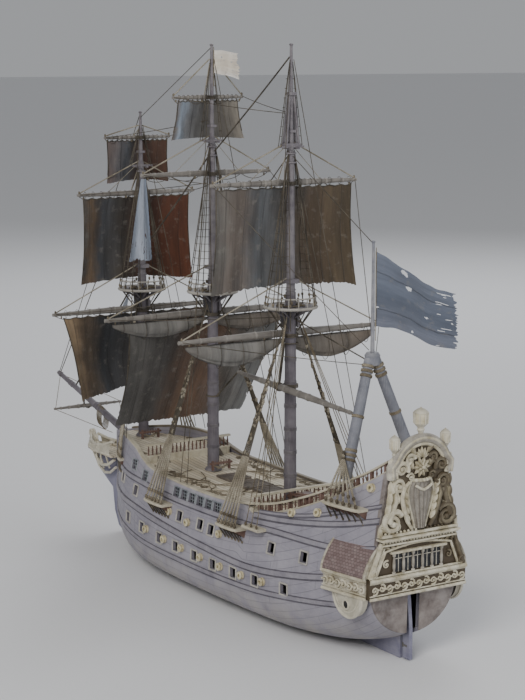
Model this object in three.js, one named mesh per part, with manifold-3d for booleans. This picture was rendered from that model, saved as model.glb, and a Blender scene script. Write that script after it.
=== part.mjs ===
// A model sailing ship with three square-rigged masts, a two-legged aft mast and a carved stern.
// Millimetres. +X points to the bow, +Y to port, +Z up. The origin is under the middle of the keel.
import * as THREE from 'three';
import { mergeVertices } from 'three/addons/utils/BufferGeometryUtils.js';
import Module from 'manifold-3d';

const wasm = await Module();
wasm.setup();

// ---------------------------------------------------------------- driving dimensions
const GAP = 0.4;                    // clearance between neighbouring pieces
const KEEL_HALF = 238;              // half the keel's length
const KEEL_WIDTH = 6;
const WALL = 3;                     // thickness of the hull planking
const STERN_X = -252;
const STERN_RAKE = 0.03;            // aft lean of the stern
const RAKE_FROM_Z = 60;
const DECK_THICK = 2;

// Hull lines: value at a place along the ship, as [x, value] pairs.
const BEAM = [[-252, 42], [-232, 47.5], [-200, 55], [-150, 61], [-80, 65], [0, 67.5], [80, 66],
  [130, 59], [163, 48.5], [182, 39], [201, 28], [219, 17.5], [238, 7], [252, 2.2]];
const TOP_BEAM = [[-252, 27], [-232, 32], [-200, 39], [-150, 46], [-80, 53], [0, 56.5], [80, 54],
  [130, 47], [163, 38.5], [182, 31.5], [201, 23], [219, 14.5], [238, 6], [252, 2.2]];
const BOTTOM_Z = [[-252, 25], [-235, 17], [-200, 7], [-165, 3], [-120, 1.8], [0, 1.8], [200, 1.8],
  [225, 3], [238, 7], [252, 24]];
const WIDEST_Z = [[-252, 64], [-200, 54], [-100, 46], [100, 46], [180, 60], [252, 80]];
const RAIL_Z = [[-272, 185], [-252, 174], [-230, 160], [-200, 144], [-165, 128.5], [-120, 113],
  [-80, 105.5], [-45, 102.5], [10, 102], [60, 103], [90, 105], [110, 110], [130, 117],
  [173, 120], [210, 116], [252, 108]];
const FULLNESS = [[-252, 2], [-200, 2.4], [-120, 3.4], [0, 3.6], [100, 3.4], [180, 2.6], [252, 1.8]];
const OPEN_RAIL_HEIGHT = 10;        // open rail above the planking along the quarter and poop
const CAP_RAIL_HEIGHT = 2;
const OPEN_RAIL_FROM = -92;
const CAP_RAIL_FROM = -78;

// Gun ports: [x, z] of each port's middle, on both sides. Round gun holes stand between most of them.
const PORT_SIZE = 9;
const LOWER_PORTS = [[120, 50], [85, 48], [49, 46], [18, 45], [-15, 44], [-46, 43], [-78, 43],
  [-111, 44], [-152, 46]];
const UPPER_PORTS = [[148, 83], [109, 78], [17, 73], [-19, 73], [-37, 72], [-129, 76], [-174, 78]];
const BOW_WINDOWS = [[122, 100], [95, 94.5]];
const LOWER_GUNS = [[74, 49], [38, 47.5], [6, 46.5], [-27, 45.5], [-59, 44.5], [-92, 44.5], [-123, 46]];
const UPPER_GUNS = [[66, 74], [35, 74], [1, 71], [-52, 72]];
const BARREL_RADIUS = 2.1;
const MUZZLE_RADIUS = 3.6;
const MUZZLE_LENGTH = 2;
const BARREL_OUT = 4;               // how far a muzzle stands outside the planking
const GUN_HOLE = 2.7;
const WAIST_WINDOWS = [-40, -26, -12, 2, 16, 30];
const WAIST_WINDOW = [11, 9];
const WAIST_WINDOW_Z = 92;

// Masts: place along the ship, heights of the top, crosstrees and truck.
const FORE = { x: 198, foot: 11, top: 258, cross: 380, truck: 435, radius: 5.4 };
const MAIN = { x: 62, foot: 10, top: 270, cross: 410, truck: 500, radius: 5.8 };
const MIZZEN = { x: -70, foot: 10, top: 271, cross: 410, truck: 500, radius: 5.8 };
const AFT = { x: -192, cap: 243, pole: 341, legX: -206, legRadius: 5 };
const TOP_RADIUS = 23;
const ROD_SIDES = 8;

// Yards: height of the yard and half its length; radius at the middle.
const FORE_YARDS = { course: [238, 94, 3.2], topsail: [354, 66, 2.6], topgallant: [409, 37, 1.8] };
const MAIN_YARDS = { course: [250, 108, 3.4], topsail: [381, 70, 2.8], topgallant: [451, 38, 2] };
const MIZZEN_YARDS = { course: [247, 107, 3.4], topsail: [380, 76, 2.8] };
const YARD_AHEAD = 2.4;             // gap between a mast and its yard
const SPRITSAIL = { x: 320, z: 120.5, half: 40, radius: 2 };
const BOWSPRIT = { from: [222, 103], to: [388, 146], radius: 4.2 };
const LATEEN = { from: [-180, 196.5], to: [-2, 205], y: 11.6, radius: 3 };

const CLOTH = 1.2;                  // thickness of a sail's solid
const STAY_RADIUS = 0.8;

// ---------------------------------------------------------------- finishes
const finish = (color, roughness, metalness = 0) =>
  new THREE.MeshStandardMaterial({ color, roughness, metalness });
const HULL_PAINT = finish('#6e6b78', 0.7);
const KEEL_PAINT = finish('#4a4a5e', 0.7);
const DECK_WOOD = finish('#b9a888', 0.8);
const CARVED = finish('#948b68', 0.65);
const RAIL_WOOD = finish('#54403c', 0.75);
const ROOF = finish('#5e4749', 0.75);
const SPAR = finish('#4b4c58', 0.7);
const BRASS = finish('#b3a15e', 0.45, 0.6);
const DARK_SAIL = finish('#3a3532', 0.9);
const PALE_CLOTH = finish('#cfc6b4', 0.9);
const BLUE_CLOTH = finish('#5c6274', 0.9);
const ROPE = finish('#7a6c54', 0.9);

// ---------------------------------------------------------------- helpers
const ship = new THREE.Group();

function add(name, geometry, material) {
  const mesh = new THREE.Mesh(geometry, material);
  mesh.name = name;
  ship.add(mesh);
  return mesh;
}

// Smooth curve through [x, value] pairs, with level slopes outside them.
function along(pairs) {
  const slope = (i) => {
    const a = pairs[Math.max(i - 1, 0)];
    const b = pairs[Math.min(i + 1, pairs.length - 1)];
    return (b[1] - a[1]) / (b[0] - a[0]);
  };
  return (x) => {
    const last = pairs.length - 1;
    if (x <= pairs[0][0]) return pairs[0][1];
    if (x >= pairs[last][0]) return pairs[last][1];
    const i = pairs.findIndex((p, k) => k < last && x < pairs[k + 1][0]);
    const [x0, v0] = pairs[i];
    const [x1, v1] = pairs[i + 1];
    const w = x1 - x0;
    const t = (x - x0) / w;
    const t2 = t * t;
    const t3 = t2 * t;
    return v0 * (2 * t3 - 3 * t2 + 1) + v1 * (3 * t2 - 2 * t3)
      + w * (slope(i) * (t3 - 2 * t2 + t) + slope(i + 1) * (t3 - t2));
  };
}

function solid(geometry) {
  const bare = new THREE.BufferGeometry();
  bare.setAttribute('position', geometry.attributes.position.clone());
  if (geometry.index) bare.setIndex(geometry.index.clone());
  const merged = mergeVertices(bare, 1e-4);
  const mesh = new wasm.Mesh({
    numProp: 3,
    vertProperties: new Float32Array(merged.attributes.position.array),
    triVerts: new Uint32Array(merged.index.array),
  });
  return new wasm.Manifold(mesh);
}

function geometryOf(manifold) {
  const mesh = manifold.getMesh();
  const geometry = new THREE.BufferGeometry();
  geometry.setAttribute('position', new THREE.BufferAttribute(mesh.vertProperties, 3));
  geometry.setIndex(new THREE.BufferAttribute(mesh.triVerts, 1));
  return geometry;
}

const join = (parts) => parts.map(solid).reduce((a, b) => a.add(b));
const cut = (body, tools) => tools.map(solid).reduce((a, b) => a.subtract(b), body);

function box(cx, cy, cz, sx, sy, sz) {
  return new THREE.BoxGeometry(sx, sy, sz).translate(cx, cy, cz);
}

// Straight tapered rod between two points.
function rod(from, to, radiusFrom, radiusTo = radiusFrom, sides = ROD_SIDES) {
  const a = new THREE.Vector3(...from);
  const b = new THREE.Vector3(...to);
  const rodShape = new THREE.CylinderGeometry(radiusTo, radiusFrom, a.distanceTo(b), sides);
  const turn = new THREE.Quaternion().setFromUnitVectors(
    new THREE.Vector3(0, 1, 0), b.clone().sub(a).normalize());
  rodShape.applyQuaternion(turn);
  return rodShape.translate(...a.add(b).multiplyScalar(0.5).toArray());
}

// Outline in the plane of two axes, thickened along the third. axis is the thickness axis.
function plate(points, thickness, axis) {
  const shape = new THREE.Shape(points.map(([u, v]) => new THREE.Vector2(u, v)));
  const g = new THREE.ExtrudeGeometry(shape, { depth: thickness, bevelEnabled: false });
  g.translate(0, 0, -thickness / 2);
  if (axis === 'y') g.rotateX(Math.PI / 2);
  if (axis === 'x') g.rotateX(Math.PI / 2).rotateZ(Math.PI / 2);
  return g;
}

// Closed skin over a row of rings, each a list of [x, y, z], with fan ends.
function loft(rings) {
  const n = rings[0].length;
  const points = rings.flat(2);
  const index = [];
  for (let i = 0; i < rings.length - 1; i += 1) {
    for (let j = 0; j < n; j += 1) {
      const a = i * n + j;
      const b = i * n + ((j + 1) % n);
      index.push(a, b, a + n, b, b + n, a + n);
    }
  }
  const cap = (start, flip) => {
    const outline = rings[start];
    const contour = flatOutline(outline);
    THREE.ShapeUtils.triangulateShape(contour, []).forEach((corners) => {
      const [a, b, c] = corners.sort((p, q) => p - q).map((k) => start * n + k);
      index.push(...(flip ? [a, b, c] : [a, c, b]));
    });
  };
  cap(0, false);
  cap(rings.length - 1, true);
  const g = new THREE.BufferGeometry();
  g.setAttribute('position', new THREE.Float32BufferAttribute(points, 3));
  g.setIndex(index);
  if (volume(g) < 0) g.setIndex(index.slice().reverse());
  return g;
}

// A ring's points in the two axes in which it is largest.
function flatOutline(ring) {
  const spread = [0, 1, 2].map((k) => {
    const values = ring.map((p) => p[k]);
    return Math.max(...values) - Math.min(...values);
  });
  const thin = spread.indexOf(Math.min(...spread));
  const keep = [0, 1, 2].filter((k) => k !== thin);
  return ring.map((p) => new THREE.Vector2(p[keep[0]], p[keep[1]]));
}

function volume(g) {
  const p = g.attributes.position;
  const [a, b, c] = [0, 1, 2].map(() => new THREE.Vector3());
  let total = 0;
  for (let i = 0; i < g.index.count; i += 3) {
    a.fromBufferAttribute(p, g.index.getX(i));
    b.fromBufferAttribute(p, g.index.getX(i + 1));
    c.fromBufferAttribute(p, g.index.getX(i + 2));
    total += a.dot(b.cross(c));
  }
  return total / 6;
}

const steps = (from, to, count) =>
  Array.from({ length: count + 1 }, (_, i) => from + ((to - from) * i) / count);
const SIDES = [['port', 1], ['starboard', -1]];

// ---------------------------------------------------------------- hull form
const beamAt = along(BEAM);
const topBeamAt = along(TOP_BEAM);
const bottomAt = along(BOTTOM_Z);
const widestAt = along(WIDEST_Z);
const railAt = along(RAIL_Z);
const fullnessAt = along(FULLNESS);

function plankTop(x) {
  const t = THREE.MathUtils.smoothstep(x, OPEN_RAIL_FROM, CAP_RAIL_FROM);
  return railAt(x) - THREE.MathUtils.lerp(OPEN_RAIL_HEIGHT, CAP_RAIL_HEIGHT, t);
}

function halfBreadth(x, z) {
  const [bottom, widest, top] = [bottomAt(x), widestAt(x), railAt(x)];
  if (z < widest) {
    const s = Math.max((z - bottom) / (widest - bottom), 0);
    const n = fullnessAt(x);
    return beamAt(x) * (1 - (1 - s) ** n) ** (1 / n);
  }
  const u = Math.min((z - widest) / (top - widest), 1);
  return beamAt(x) + (topBeamAt(x) - beamAt(x)) * u ** 1.4;
}

// The stern leans aft.
function raked(x, z) {
  const weight = 1 - THREE.MathUtils.smoothstep(x, STERN_X, -200);
  return x - STERN_RAKE * weight * (z - RAKE_FROM_Z);
}

const LOW_LEVELS = [0.05, 0.16, 0.34, 0.6, 1];
const HIGH_LEVELS = [0.36, 0.7, 1];

function hullRing(x, inset, lift, topExtra) {
  const bottom = bottomAt(x) + lift;
  const widest = Math.max(widestAt(x), bottom + 1);
  const top = plankTop(x) + topExtra;
  const heights = [...LOW_LEVELS.map((s) => bottom + (widest - bottom) * s),
    ...HIGH_LEVELS.map((u) => widest + (top - widest) * u)];
  const side = heights.map((z) => {
    const y = Math.max(halfBreadth(x, Math.max(z, bottomAt(x))) - inset, 0.6);
    return [raked(x, z), y, z];
  });
  const port = side.slice().reverse();
  const starboard = side.map(([px, py, pz]) => [px, -py, pz]);
  return [...port, [raked(x, bottom), 0, bottom], ...starboard];
}

const HULL_STATIONS = [-252, -245, -235, -220, -195, -165, -130, -95, -86, -78, -50, -15, 20, 55, 85,
  100, 115, 130, 148, 163, 182, 201, 219, 236, 246, 252];

function hullOuter(grow = 0, topExtra = 0) {
  const xs = HULL_STATIONS.slice();
  xs[0] -= grow;
  xs[xs.length - 1] += grow;
  return loft(xs.map((x) => hullRing(x, -grow, -grow, topExtra)));
}

function hullInner() {
  const xs = [STERN_X + WALL + 1, ...HULL_STATIONS.filter((x) => x > -240 && x < 232), 236];
  return loft(xs.map((x) => hullRing(x, WALL, WALL + 1, 8)));
}

// ---------------------------------------------------------------- hull, keel and rudder
const RUDDER = { hingeX: -240.5, chord: 8.5, halfThick: 1.7, foot: 1, head: 58, slotHalf: 6 };

function buildHull() {
  const ports = [...LOWER_PORTS, ...UPPER_PORTS].map(([x, z]) =>
    box(x, 0, z, PORT_SIZE, 200, PORT_SIZE));
  const windows = [...WAIST_WINDOWS.map((x) => [x, WAIST_WINDOW_Z]), ...BOW_WINDOWS].map(([x, z]) =>
    box(x, 0, z, WAIST_WINDOW[0], 200, WAIST_WINDOW[1]));
  const holes = [...LOWER_GUNS, ...UPPER_GUNS].map(([x, z]) =>
    rod([x, -100, z], [x, 100, z], GUN_HOLE, GUN_HOLE, 8));
  const slot = box(RUDDER.hingeX - 13, 0, 32, 30, RUDDER.slotHalf * 2, 56);
  const shell = solid(hullOuter()).subtract(solid(hullInner()));
  add('hull_shell', geometryOf(cut(shell, [...ports, ...windows, ...holes, slot])), HULL_PAINT);
}

// Keel, stem and the knee of the head, with the skeg below the round stern.
function buildKeel() {
  const outline = [[KEEL_HALF - 4, 0], [248, 6], [256, 20], [260, 44], [272, 50], [286, 57], [293, 66],
    [300, 78.2], [253, 78.2], [246, 60], [236, 9], [-KEEL_HALF, 9], [-KEEL_HALF, 0]];
  const blade = plate(outline, KEEL_WIDTH, 'y');
  const skeg = plate([[-KEEL_HALF, 0], [-168, 0], [-168, 9], [-KEEL_HALF, 44]], KEEL_WIDTH, 'y');
  const body = join([blade, skeg]).subtract(solid(hullOuter(GAP)));
  const pieces = body.decompose().sort((a, b) => b.volume() - a.volume());
  add('keel', geometryOf(pieces[0]), KEEL_PAINT);
}

function buildRudder() {
  const { hingeX, chord, halfThick, foot, head } = RUDDER;
  const blade = plate([[hingeX, foot], [hingeX, head], [hingeX - chord * 0.6, head],
    [hingeX - chord, head * 0.45], [hingeX - chord, foot]], halfThick * 2, 'y');
  const stock = rod([hingeX, 0, foot], [hingeX, 0, head], halfThick);
  add('rudder', geometryOf(join([blade, stock])), KEEL_PAINT);
}

// ---------------------------------------------------------------- decks
const MAST_HOLES = [FORE, MAIN, MIZZEN].map((m) =>
  rod([m.x, 0, 60], [m.x, 0, 140], m.radius + 0.7, m.radius + 0.7, 12));

function deckSolid(fromX, toX, levelAt, count) {
  const rings = steps(fromX, toX, count).map((x) => {
    const top = levelAt(x);
    const low = top - DECK_THICK;
    const y = Math.min(halfBreadth(x, top), halfBreadth(x, low)) - WALL - GAP;
    const px = raked(x, top);
    return [[px, y, top], [px, y, low], [px, -y, low], [px, -y, top]];
  });
  return solid(loft(rings));
}

const FORECASTLE_FROM = 110;
const QUARTER_FROM = -72;
const POOP_FROM = -182;
const forecastleLevel = () => 109;
const waistLevel = (x) => plankTop(x) - 1.2;
const quarterLevel = (x) => plankTop(x) - 4;
const poopLevel = (x) => plankTop(x) - 1.5;

function buildDecks() {
  const decks = [
    ['forecastle_deck', FORECASTLE_FROM, 228, forecastleLevel, 8],
    ['waist_deck', QUARTER_FROM + GAP, FORECASTLE_FROM - 3, (x) => Math.min(waistLevel(x), 103), 8],
    ['quarter_deck', POOP_FROM + GAP, QUARTER_FROM - GAP, (x) => Math.max(quarterLevel(x), 97), 6],
    ['poop_deck', -246, POOP_FROM - GAP, poopLevel, 5],
  ];
  decks.forEach(([name, from, to, level, count]) => {
    add(name, geometryOf(cut(deckSolid(from, to, level, count), MAST_HOLES)), DECK_WOOD);
  });
}

// ---------------------------------------------------------------- rails
const BALUSTER_PITCH = 9;

// Balustrade across the ship: a sill, posts and a top rail.
function crossRail(x, z, half, height) {
  const posts = steps(-half + 2, half - 2, Math.round((2 * half - 4) / BALUSTER_PITCH));
  return join([
    box(x, 0, z + 1, 2.4, 2 * half, 2),
    box(x, 0, z + height - 1, 3, 2 * half, 2),
    ...posts.map((y) => box(x, y, z + height / 2, 1.6, 1.8, height - 1)),
  ]);
}

function buildCrossRails() {
  const half = halfBreadth(FORECASTLE_FROM, 108) - WALL - 1.6;
  const bulkhead = solid(box(FORECASTLE_FROM - 1.6, 0, 105.6, 1.6, 2 * half, 7));
  const rail = crossRail(FORECASTLE_FROM - 1.6, 108.5, half, 13).add(bulkhead);
  add('forecastle_rail', geometryOf(rail), RAIL_WOOD);
  const z = Math.max(quarterLevel(QUARTER_FROM), 97);
  const hole = solid(rod([MIZZEN.x, 0, 80], [MIZZEN.x, 0, 140], MIZZEN.radius + 0.7));
  add('quarterdeck_rail', geometryOf(crossRail(QUARTER_FROM - 10, z + 0.8, 47, 12).subtract(hole)),
    RAIL_WOOD);
}

// Rail along one side: a plain cap over the waist, an open balustrade from the quarter aft.
function sideRail(side) {
  const strip = (fromX, toX, lowAt, highAt, width, count) => loft(steps(fromX, toX, count).map((x) => {
    const [low, high] = [lowAt(x), highAt(x)];
    const middle = side * (halfBreadth(x, railAt(x)) - WALL / 2);
    const px = raked(x, high);
    const [outer, inner] = [middle + (side * width) / 2, middle - (side * width) / 2];
    return [[px, outer, low], [px, outer, high], [px, inner, high], [px, inner, low]];
  }));
  const low = (x) => plankTop(x) + 2 * GAP;
  const posts = steps(-246, OPEN_RAIL_FROM - 6, 11).map((x) => {
    const middle = side * (halfBreadth(x, railAt(x)) - WALL / 2);
    const z = railAt(x) - OPEN_RAIL_HEIGHT / 2;
    return box(raked(x, z), middle, z, 2.4, 2, OPEN_RAIL_HEIGHT - 2);
  });
  return join([
    strip(-249, OPEN_RAIL_FROM - 4, low, (x) => low(x) + 1.8, 3, 9),
    strip(-249, 225, (x) => Math.max(low(x), railAt(x) - 1.8), railAt, 3.6, 24),
    ...posts,
  ]);
}

function buildSideRails() {
  SIDES.forEach(([name, side]) => {
    const pieces = sideRail(side).decompose().sort((a, b) => b.volume() - a.volume());
    add(`side_rail_${name}`, geometryOf(pieces[0]), RAIL_WOOD);
  });
}

// ---------------------------------------------------------------- bow
function buildBow() {
  const outline = [[246, 15], [268, 16.5], [290, 14], [303, 8.5], [308, 3], [308, -3], [303, -8.5],
    [290, -14], [268, -16.5], [246, -15]];
  const deck = plate(outline, 3.4, 'z').translate(0, 0, 80.6);
  const rails = SIDES.flatMap(([, side]) => [
    rod([243, side * 12, 92], [300, side * 9.6, 82], 1.6, 1.3, 6),
    rod([245, side * 9, 61], [272, side * 10, 66], 1.5, 1.5, 6),
    rod([271, side * 10, 65.5], [298, side * 6, 80], 1.5, 1.3, 6),
  ]);
  const figure = [
    rod([297, 0, 87], [311, 0, 91], 3.6, 2.2, 8),
    new THREE.IcosahedronGeometry(3.6, 1).translate(312, 0, 93.5),
    plate([[292, 80], [300, 80], [304, 92], [297, 95]], 4, 'y'),
  ];
  const platform = join([deck, ...rails, ...figure]).subtract(solid(hullOuter(GAP, 20)));
  const pieces = platform.decompose().sort((a, b) => b.volume() - a.volume());
  add('beakhead', geometryOf(pieces[0]), CARVED);

  const { from, to, radius } = BOWSPRIT;
  const spar = rod([from[0], 0, from[1]], [to[0], 0, to[1]], radius, radius * 0.55, 10);
  const hull = solid(hullOuter(GAP, 0));
  add('bowsprit', geometryOf(solid(spar).subtract(hull)), SPAR);
}

// ---------------------------------------------------------------- stern
const GALLERY = { low: 60.5, high: 77, cornice: 108, half: 49, corniceHalf: 36 };
const AFT_FACE = (z) => raked(STERN_X, z) - GAP;

// Raked panel across the stern between two heights, with the half-widths there.
function sternPanel(lowZ, highZ, lowHalf, highHalf, depth) {
  const ring = (half) => (z) => [[AFT_FACE(z), half, z], [AFT_FACE(z) - depth, half, z],
    [AFT_FACE(z) - depth, -half, z], [AFT_FACE(z), -half, z]];
  return loft([ring(lowHalf)(lowZ), ring(highHalf)(highZ)]);
}

function buildTransom() {
  const frieze = sternPanel(GALLERY.low, GALLERY.high, 48.6, 48.6, 7);
  const wall = sternPanel(GALLERY.high - 1, GALLERY.cornice, 47.5, 35, 4);
  const cornice = sternPanel(104, 110, 37.5, 37.5, 8);
  const posts = [-24, -14.4, -4.8, 4.8, 14.4, 24].map((y) =>
    box(AFT_FACE(88) - 4.2, y, 88, 2.2, 1.6, 17));
  const windows = [-19.2, -9.6, 0, 9.6, 19.2].map((y) => box(AFT_FACE(88) - 3.6, y, 88, 3, 6, 13));
  add('transom', geometryOf(cut(join([frieze, wall, cornice, ...posts]), windows)), CARVED);
}

// Carved upper stern: an arched panel with scrolled edges.
function buildTaffrail() {
  const side = [[38, 111], [37.5, 117], [32, 124], [30, 134], [28.5, 148], [27, 156], [29, 164],
    [29, 172], [24, 180], [14, 186]];
  const outline = [...side, [0, 188.5], ...side.slice().reverse().map(([y, z]) => [-y, z])];
  const panel = plate(outline.map(([y, z]) => [y, z]), 4, 'x');
  const place = panel.attributes.position;
  for (let i = 0; i < place.count; i += 1) {
    place.setX(i, place.getX(i) + AFT_FACE(place.getZ(i)) - 2);
  }
  const shield = plate([[13, 156], [-13, 156], [-15, 140], [-7, 116], [7, 116], [15, 140]], 5, 'x');
  shield.translate(AFT_FACE(136) - 5, 0, 0);
  const sideLanterns = [-25.5, 25.5].map((y) => lantern(y, 172, 194, 4.2));
  add('taffrail', geometryOf(join([panel, shield, ...sideLanterns])), CARVED);
  const shape = solid(lantern(0, 189.2, 214, 5.6));
  add('lantern_centre', geometryOf(shape), CARVED);
}

function lantern(y, low, high, radius) {
  const h = high - low;
  const profile = [[0, 0], [radius * 0.5, 0], [radius * 0.42, h * 0.35], [radius, h * 0.55],
    [radius * 0.95, h * 0.82], [radius * 0.4, h], [0, h]];
  const g = new THREE.LatheGeometry(profile.map(([r, z]) => new THREE.Vector2(r, z)), 10);
  g.rotateX(Math.PI / 2);
  return g.translate(AFT_FACE(low) - 2, y, low);
}

// Quarter gallery: carved frieze, curved shingled roof and a round bracket below.
function gallery(side) {
  const outer = (x) => 58.5 + (x + 206) * 0.17;
  const section = (x) => {
    const y = outer(x);
    const inner = 20;
    return [[x, side * inner, 60.5], [x, side * y, 60.5], [x, side * y, 77], [x, side * (y - 2.5), 84],
      [x, side * (y - 7.5), 95], [x, side * (y - 14), 103], [x, side * (y - 20), 107],
      [x, side * inner, 107]];
  };
  const body = loft([section(-252), section(-230), section(-206)]);
  const bracket = new THREE.CylinderGeometry(19, 15, 4, 16);
  bracket.translate(-234, side * 50.5, 58);
  const keepLow = box(-234, side * 50, 40, 50, 40, 41);
  const low = solid(bracket).intersect(solid(keepLow));
  const hole = rod([-231, side * 30, 52], [-231, side * 70, 52], 3.6);
  const link = box(-234, side * 47, 55, 26, 8, 12);
  return solid(body).add(low).add(solid(link)).subtract(solid(hole))
    .subtract(solid(hullOuter(GAP, 20)));
}

function buildGalleries() {
  SIDES.forEach(([name, side]) => {
    const pieces = gallery(side).decompose().sort((a, b) => b.volume() - a.volume());
    add(`gallery_${name}`, geometryOf(pieces[0]), ROOF);
  });
}

// ---------------------------------------------------------------- guns
// Barrels through the ports, on a carriage beam inside the planking.
function battery(guns, side, inset) {
  const path = guns.map(([x, z]) => [x, side * (halfBreadth(x, z) - inset), z]);
  const beams = path.slice(1).map((p, i) => rod(path[i], p, 1.8, 1.8, 4));
  const barrels = guns.map(([x, z], i) => {
    const reach = BARREL_OUT + inset;
    const profile = [[0, 0], [BARREL_RADIUS, 0], [BARREL_RADIUS, reach - MUZZLE_LENGTH],
      [MUZZLE_RADIUS, reach - MUZZLE_LENGTH], [MUZZLE_RADIUS, reach], [0, reach]];
    const barrel = new THREE.LatheGeometry(profile.map(([r, h]) => new THREE.Vector2(r, h)), 8);
    if (side < 0) barrel.rotateX(Math.PI);
    return barrel.translate(...path[i]);
  });
  return join([...beams, ...barrels]);
}

function buildGuns() {
  SIDES.forEach(([name, side]) => {
    add(`lower_guns_${name}`, geometryOf(battery(LOWER_GUNS, side, 9)), BRASS);
    add(`upper_guns_${name}`, geometryOf(battery(UPPER_GUNS, side, 9)), BRASS);
  });
}

// ---------------------------------------------------------------- masts
function buildLowerMast(name, mast) {
  const trunk = rod([mast.x, 0, mast.foot], [mast.x, 0, mast.top + 2.6], mast.radius, mast.radius * 0.8, 10);
  const profile = [[0, -9], [mast.radius + 1, -9], [TOP_RADIUS - 4, -1.6], [TOP_RADIUS, 0],
    [TOP_RADIUS, 2.4], [0, 2.4]];
  const top = new THREE.LatheGeometry(profile.map(([r, z]) => new THREE.Vector2(r, z)), 16);
  top.rotateX(Math.PI / 2).translate(mast.x, 0, mast.top);
  add(`${name}_lower_mast`, geometryOf(join([trunk, top])), SPAR);
}

function buildTopmast(name, mast) {
  const foot = mast.top + 2.6 + GAP;
  const spar = rod([mast.x, 0, foot], [mast.x, 0, mast.cross + 4], 4, 3, 10);
  const pole = rod([mast.x, 0, mast.cross], [mast.x, 0, mast.truck], 2.4, 1.2, 8);
  const cap = rod([mast.x, 0, mast.top + 24], [mast.x, 0, mast.top + 29], 5.4, 5.4, 8);
  const trees = [-1, 1].map((s) => box(mast.x + s * 3.4, 0, mast.cross + 2, 2.2, 22, 2));
  const spreader = box(mast.x, 0, mast.cross + 2, 9, 6, 2);
  add(`${name}_topmast`, geometryOf(join([spar, pole, cap, ...trees, spreader])), SPAR);
}

// Two stout legs standing on the side rails, joined under a cap, with the ensign's pole above.
function buildAftMast() {
  const { x, cap, pole, legX, legRadius } = AFT;
  const footZ = railAt(legX) + legRadius * 0.4 + GAP;
  const footY = halfBreadth(legX, railAt(legX)) - WALL / 2;
  const legs = SIDES.map(([, side]) =>
    rod([legX, side * footY, footZ], [x, side * 3, cap], legRadius, legRadius * 0.85, 10));
  const head = rod([x, 0, cap - 4], [x, 0, cap + 5], 6.8, 5.6, 10);
  const staff = rod([x, 0, cap], [x, 0, pole], 1.8, 1.1, 8);
  add('aft_mast', geometryOf(join([...legs, head, staff])), SPAR);
}

function buildMasts() {
  Object.entries({ fore: FORE, main: MAIN, mizzen: MIZZEN }).forEach(([name, mast]) => {
    buildLowerMast(name, mast);
    buildTopmast(name, mast);
  });
  buildAftMast();
}

// ---------------------------------------------------------------- yards
const mastRadiusAt = (mast, z) => (z < mast.top ? mast.radius : z < mast.cross ? 4 : 2.4);
const yardX = (mast, [z, , radius]) => mast.x + mastRadiusAt(mast, z) + YARD_AHEAD + radius;

function yardShape(x, z, half, radius) {
  const middle = rod([x, -half * 0.3, z], [x, half * 0.3, z], radius);
  const arms = [-1, 1].map((s) =>
    rod([x, s * half * 0.3, z], [x, s * half, z], radius, radius * 0.5));
  return join([middle, ...arms]);
}

function buildYards() {
  const rigs = [['fore', FORE, FORE_YARDS], ['main', MAIN, MAIN_YARDS], ['mizzen', MIZZEN, MIZZEN_YARDS]];
  rigs.forEach(([name, mast, yards]) => {
    Object.entries(yards).forEach(([level, yard]) => {
      const [z, half, radius] = yard;
      add(`${name}_${level}_yard`, geometryOf(yardShape(yardX(mast, yard), z, half, radius)), SPAR);
    });
  });
  const { x, z, half, radius } = SPRITSAIL;
  add('spritsail_yard', geometryOf(yardShape(x, z, half, radius)), SPAR);
  const { from, to, y } = LATEEN;
  add('lateen_yard', geometryOf(join([
    rod([from[0], y, from[1]], [-78, y, (from[1] + to[1]) / 2], LATEEN.radius * 0.6, LATEEN.radius),
    rod([-78.2, y, (from[1] + to[1]) / 2], [to[0], y, to[1]], LATEEN.radius, LATEEN.radius * 0.6),
  ])), SPAR);
}

// ---------------------------------------------------------------- sails and flags
// Bellied sail: u runs from starboard to port, v from head to foot. Its cloth is even in thickness.
function sailSolid({ x, head, foot, headHalf, footHalf, belly, sweep = 0 }, across = 8, down = 5) {
  const onSurface = (u, v) => {
    const half = THREE.MathUtils.lerp(headHalf, footHalf, v);
    const hollow = belly * Math.sin(Math.PI * 0.82 * v) * (1 - (2 * u - 1) ** 2);
    return new THREE.Vector3(x + hollow + sweep * v ** 1.3, half * (2 * u - 1),
      THREE.MathUtils.lerp(head, foot, v));
  };
  const point = (u, v, offset) => {
    const reach = 0.01;
    const lowV = Math.max(v - reach, 0);
    const acrossIt = onSurface(u + reach, v).sub(onSurface(u - reach, v));
    const downIt = onSurface(u, v + reach).sub(onSurface(u, lowV));
    const normal = downIt.cross(acrossIt).normalize();
    return onSurface(u, v).addScaledVector(normal, offset).toArray();
  };
  const rings = steps(0, 1, down).map((v) => [
    ...steps(0, 1, across).map((u) => point(u, v, CLOTH / 2)),
    ...steps(1, 0, across).map((u) => point(u, v, -CLOTH / 2)),
  ]);
  return loft(rings);
}

// Sail gathered up to its yard, thick in the middle of each half and thin at the mast.
function furledSolid(x, z, half, depth, thick) {
  const rings = steps(-half, half, 16).map((y) => {
    const swell = Math.sin((Math.PI * Math.abs(y)) / half);
    const drop = 2.2 + depth * swell;
    const t = 0.9 + (thick / 2) * swell;
    return [[x - t, y, z], [x - t * 0.8, y, z - drop * 0.6], [x, y, z - drop],
      [x + t * 0.8, y, z - drop * 0.6], [x + t, y, z]];
  });
  return loft(rings);
}

const under = ([z, , radius]) => z - radius - GAP;

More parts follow.
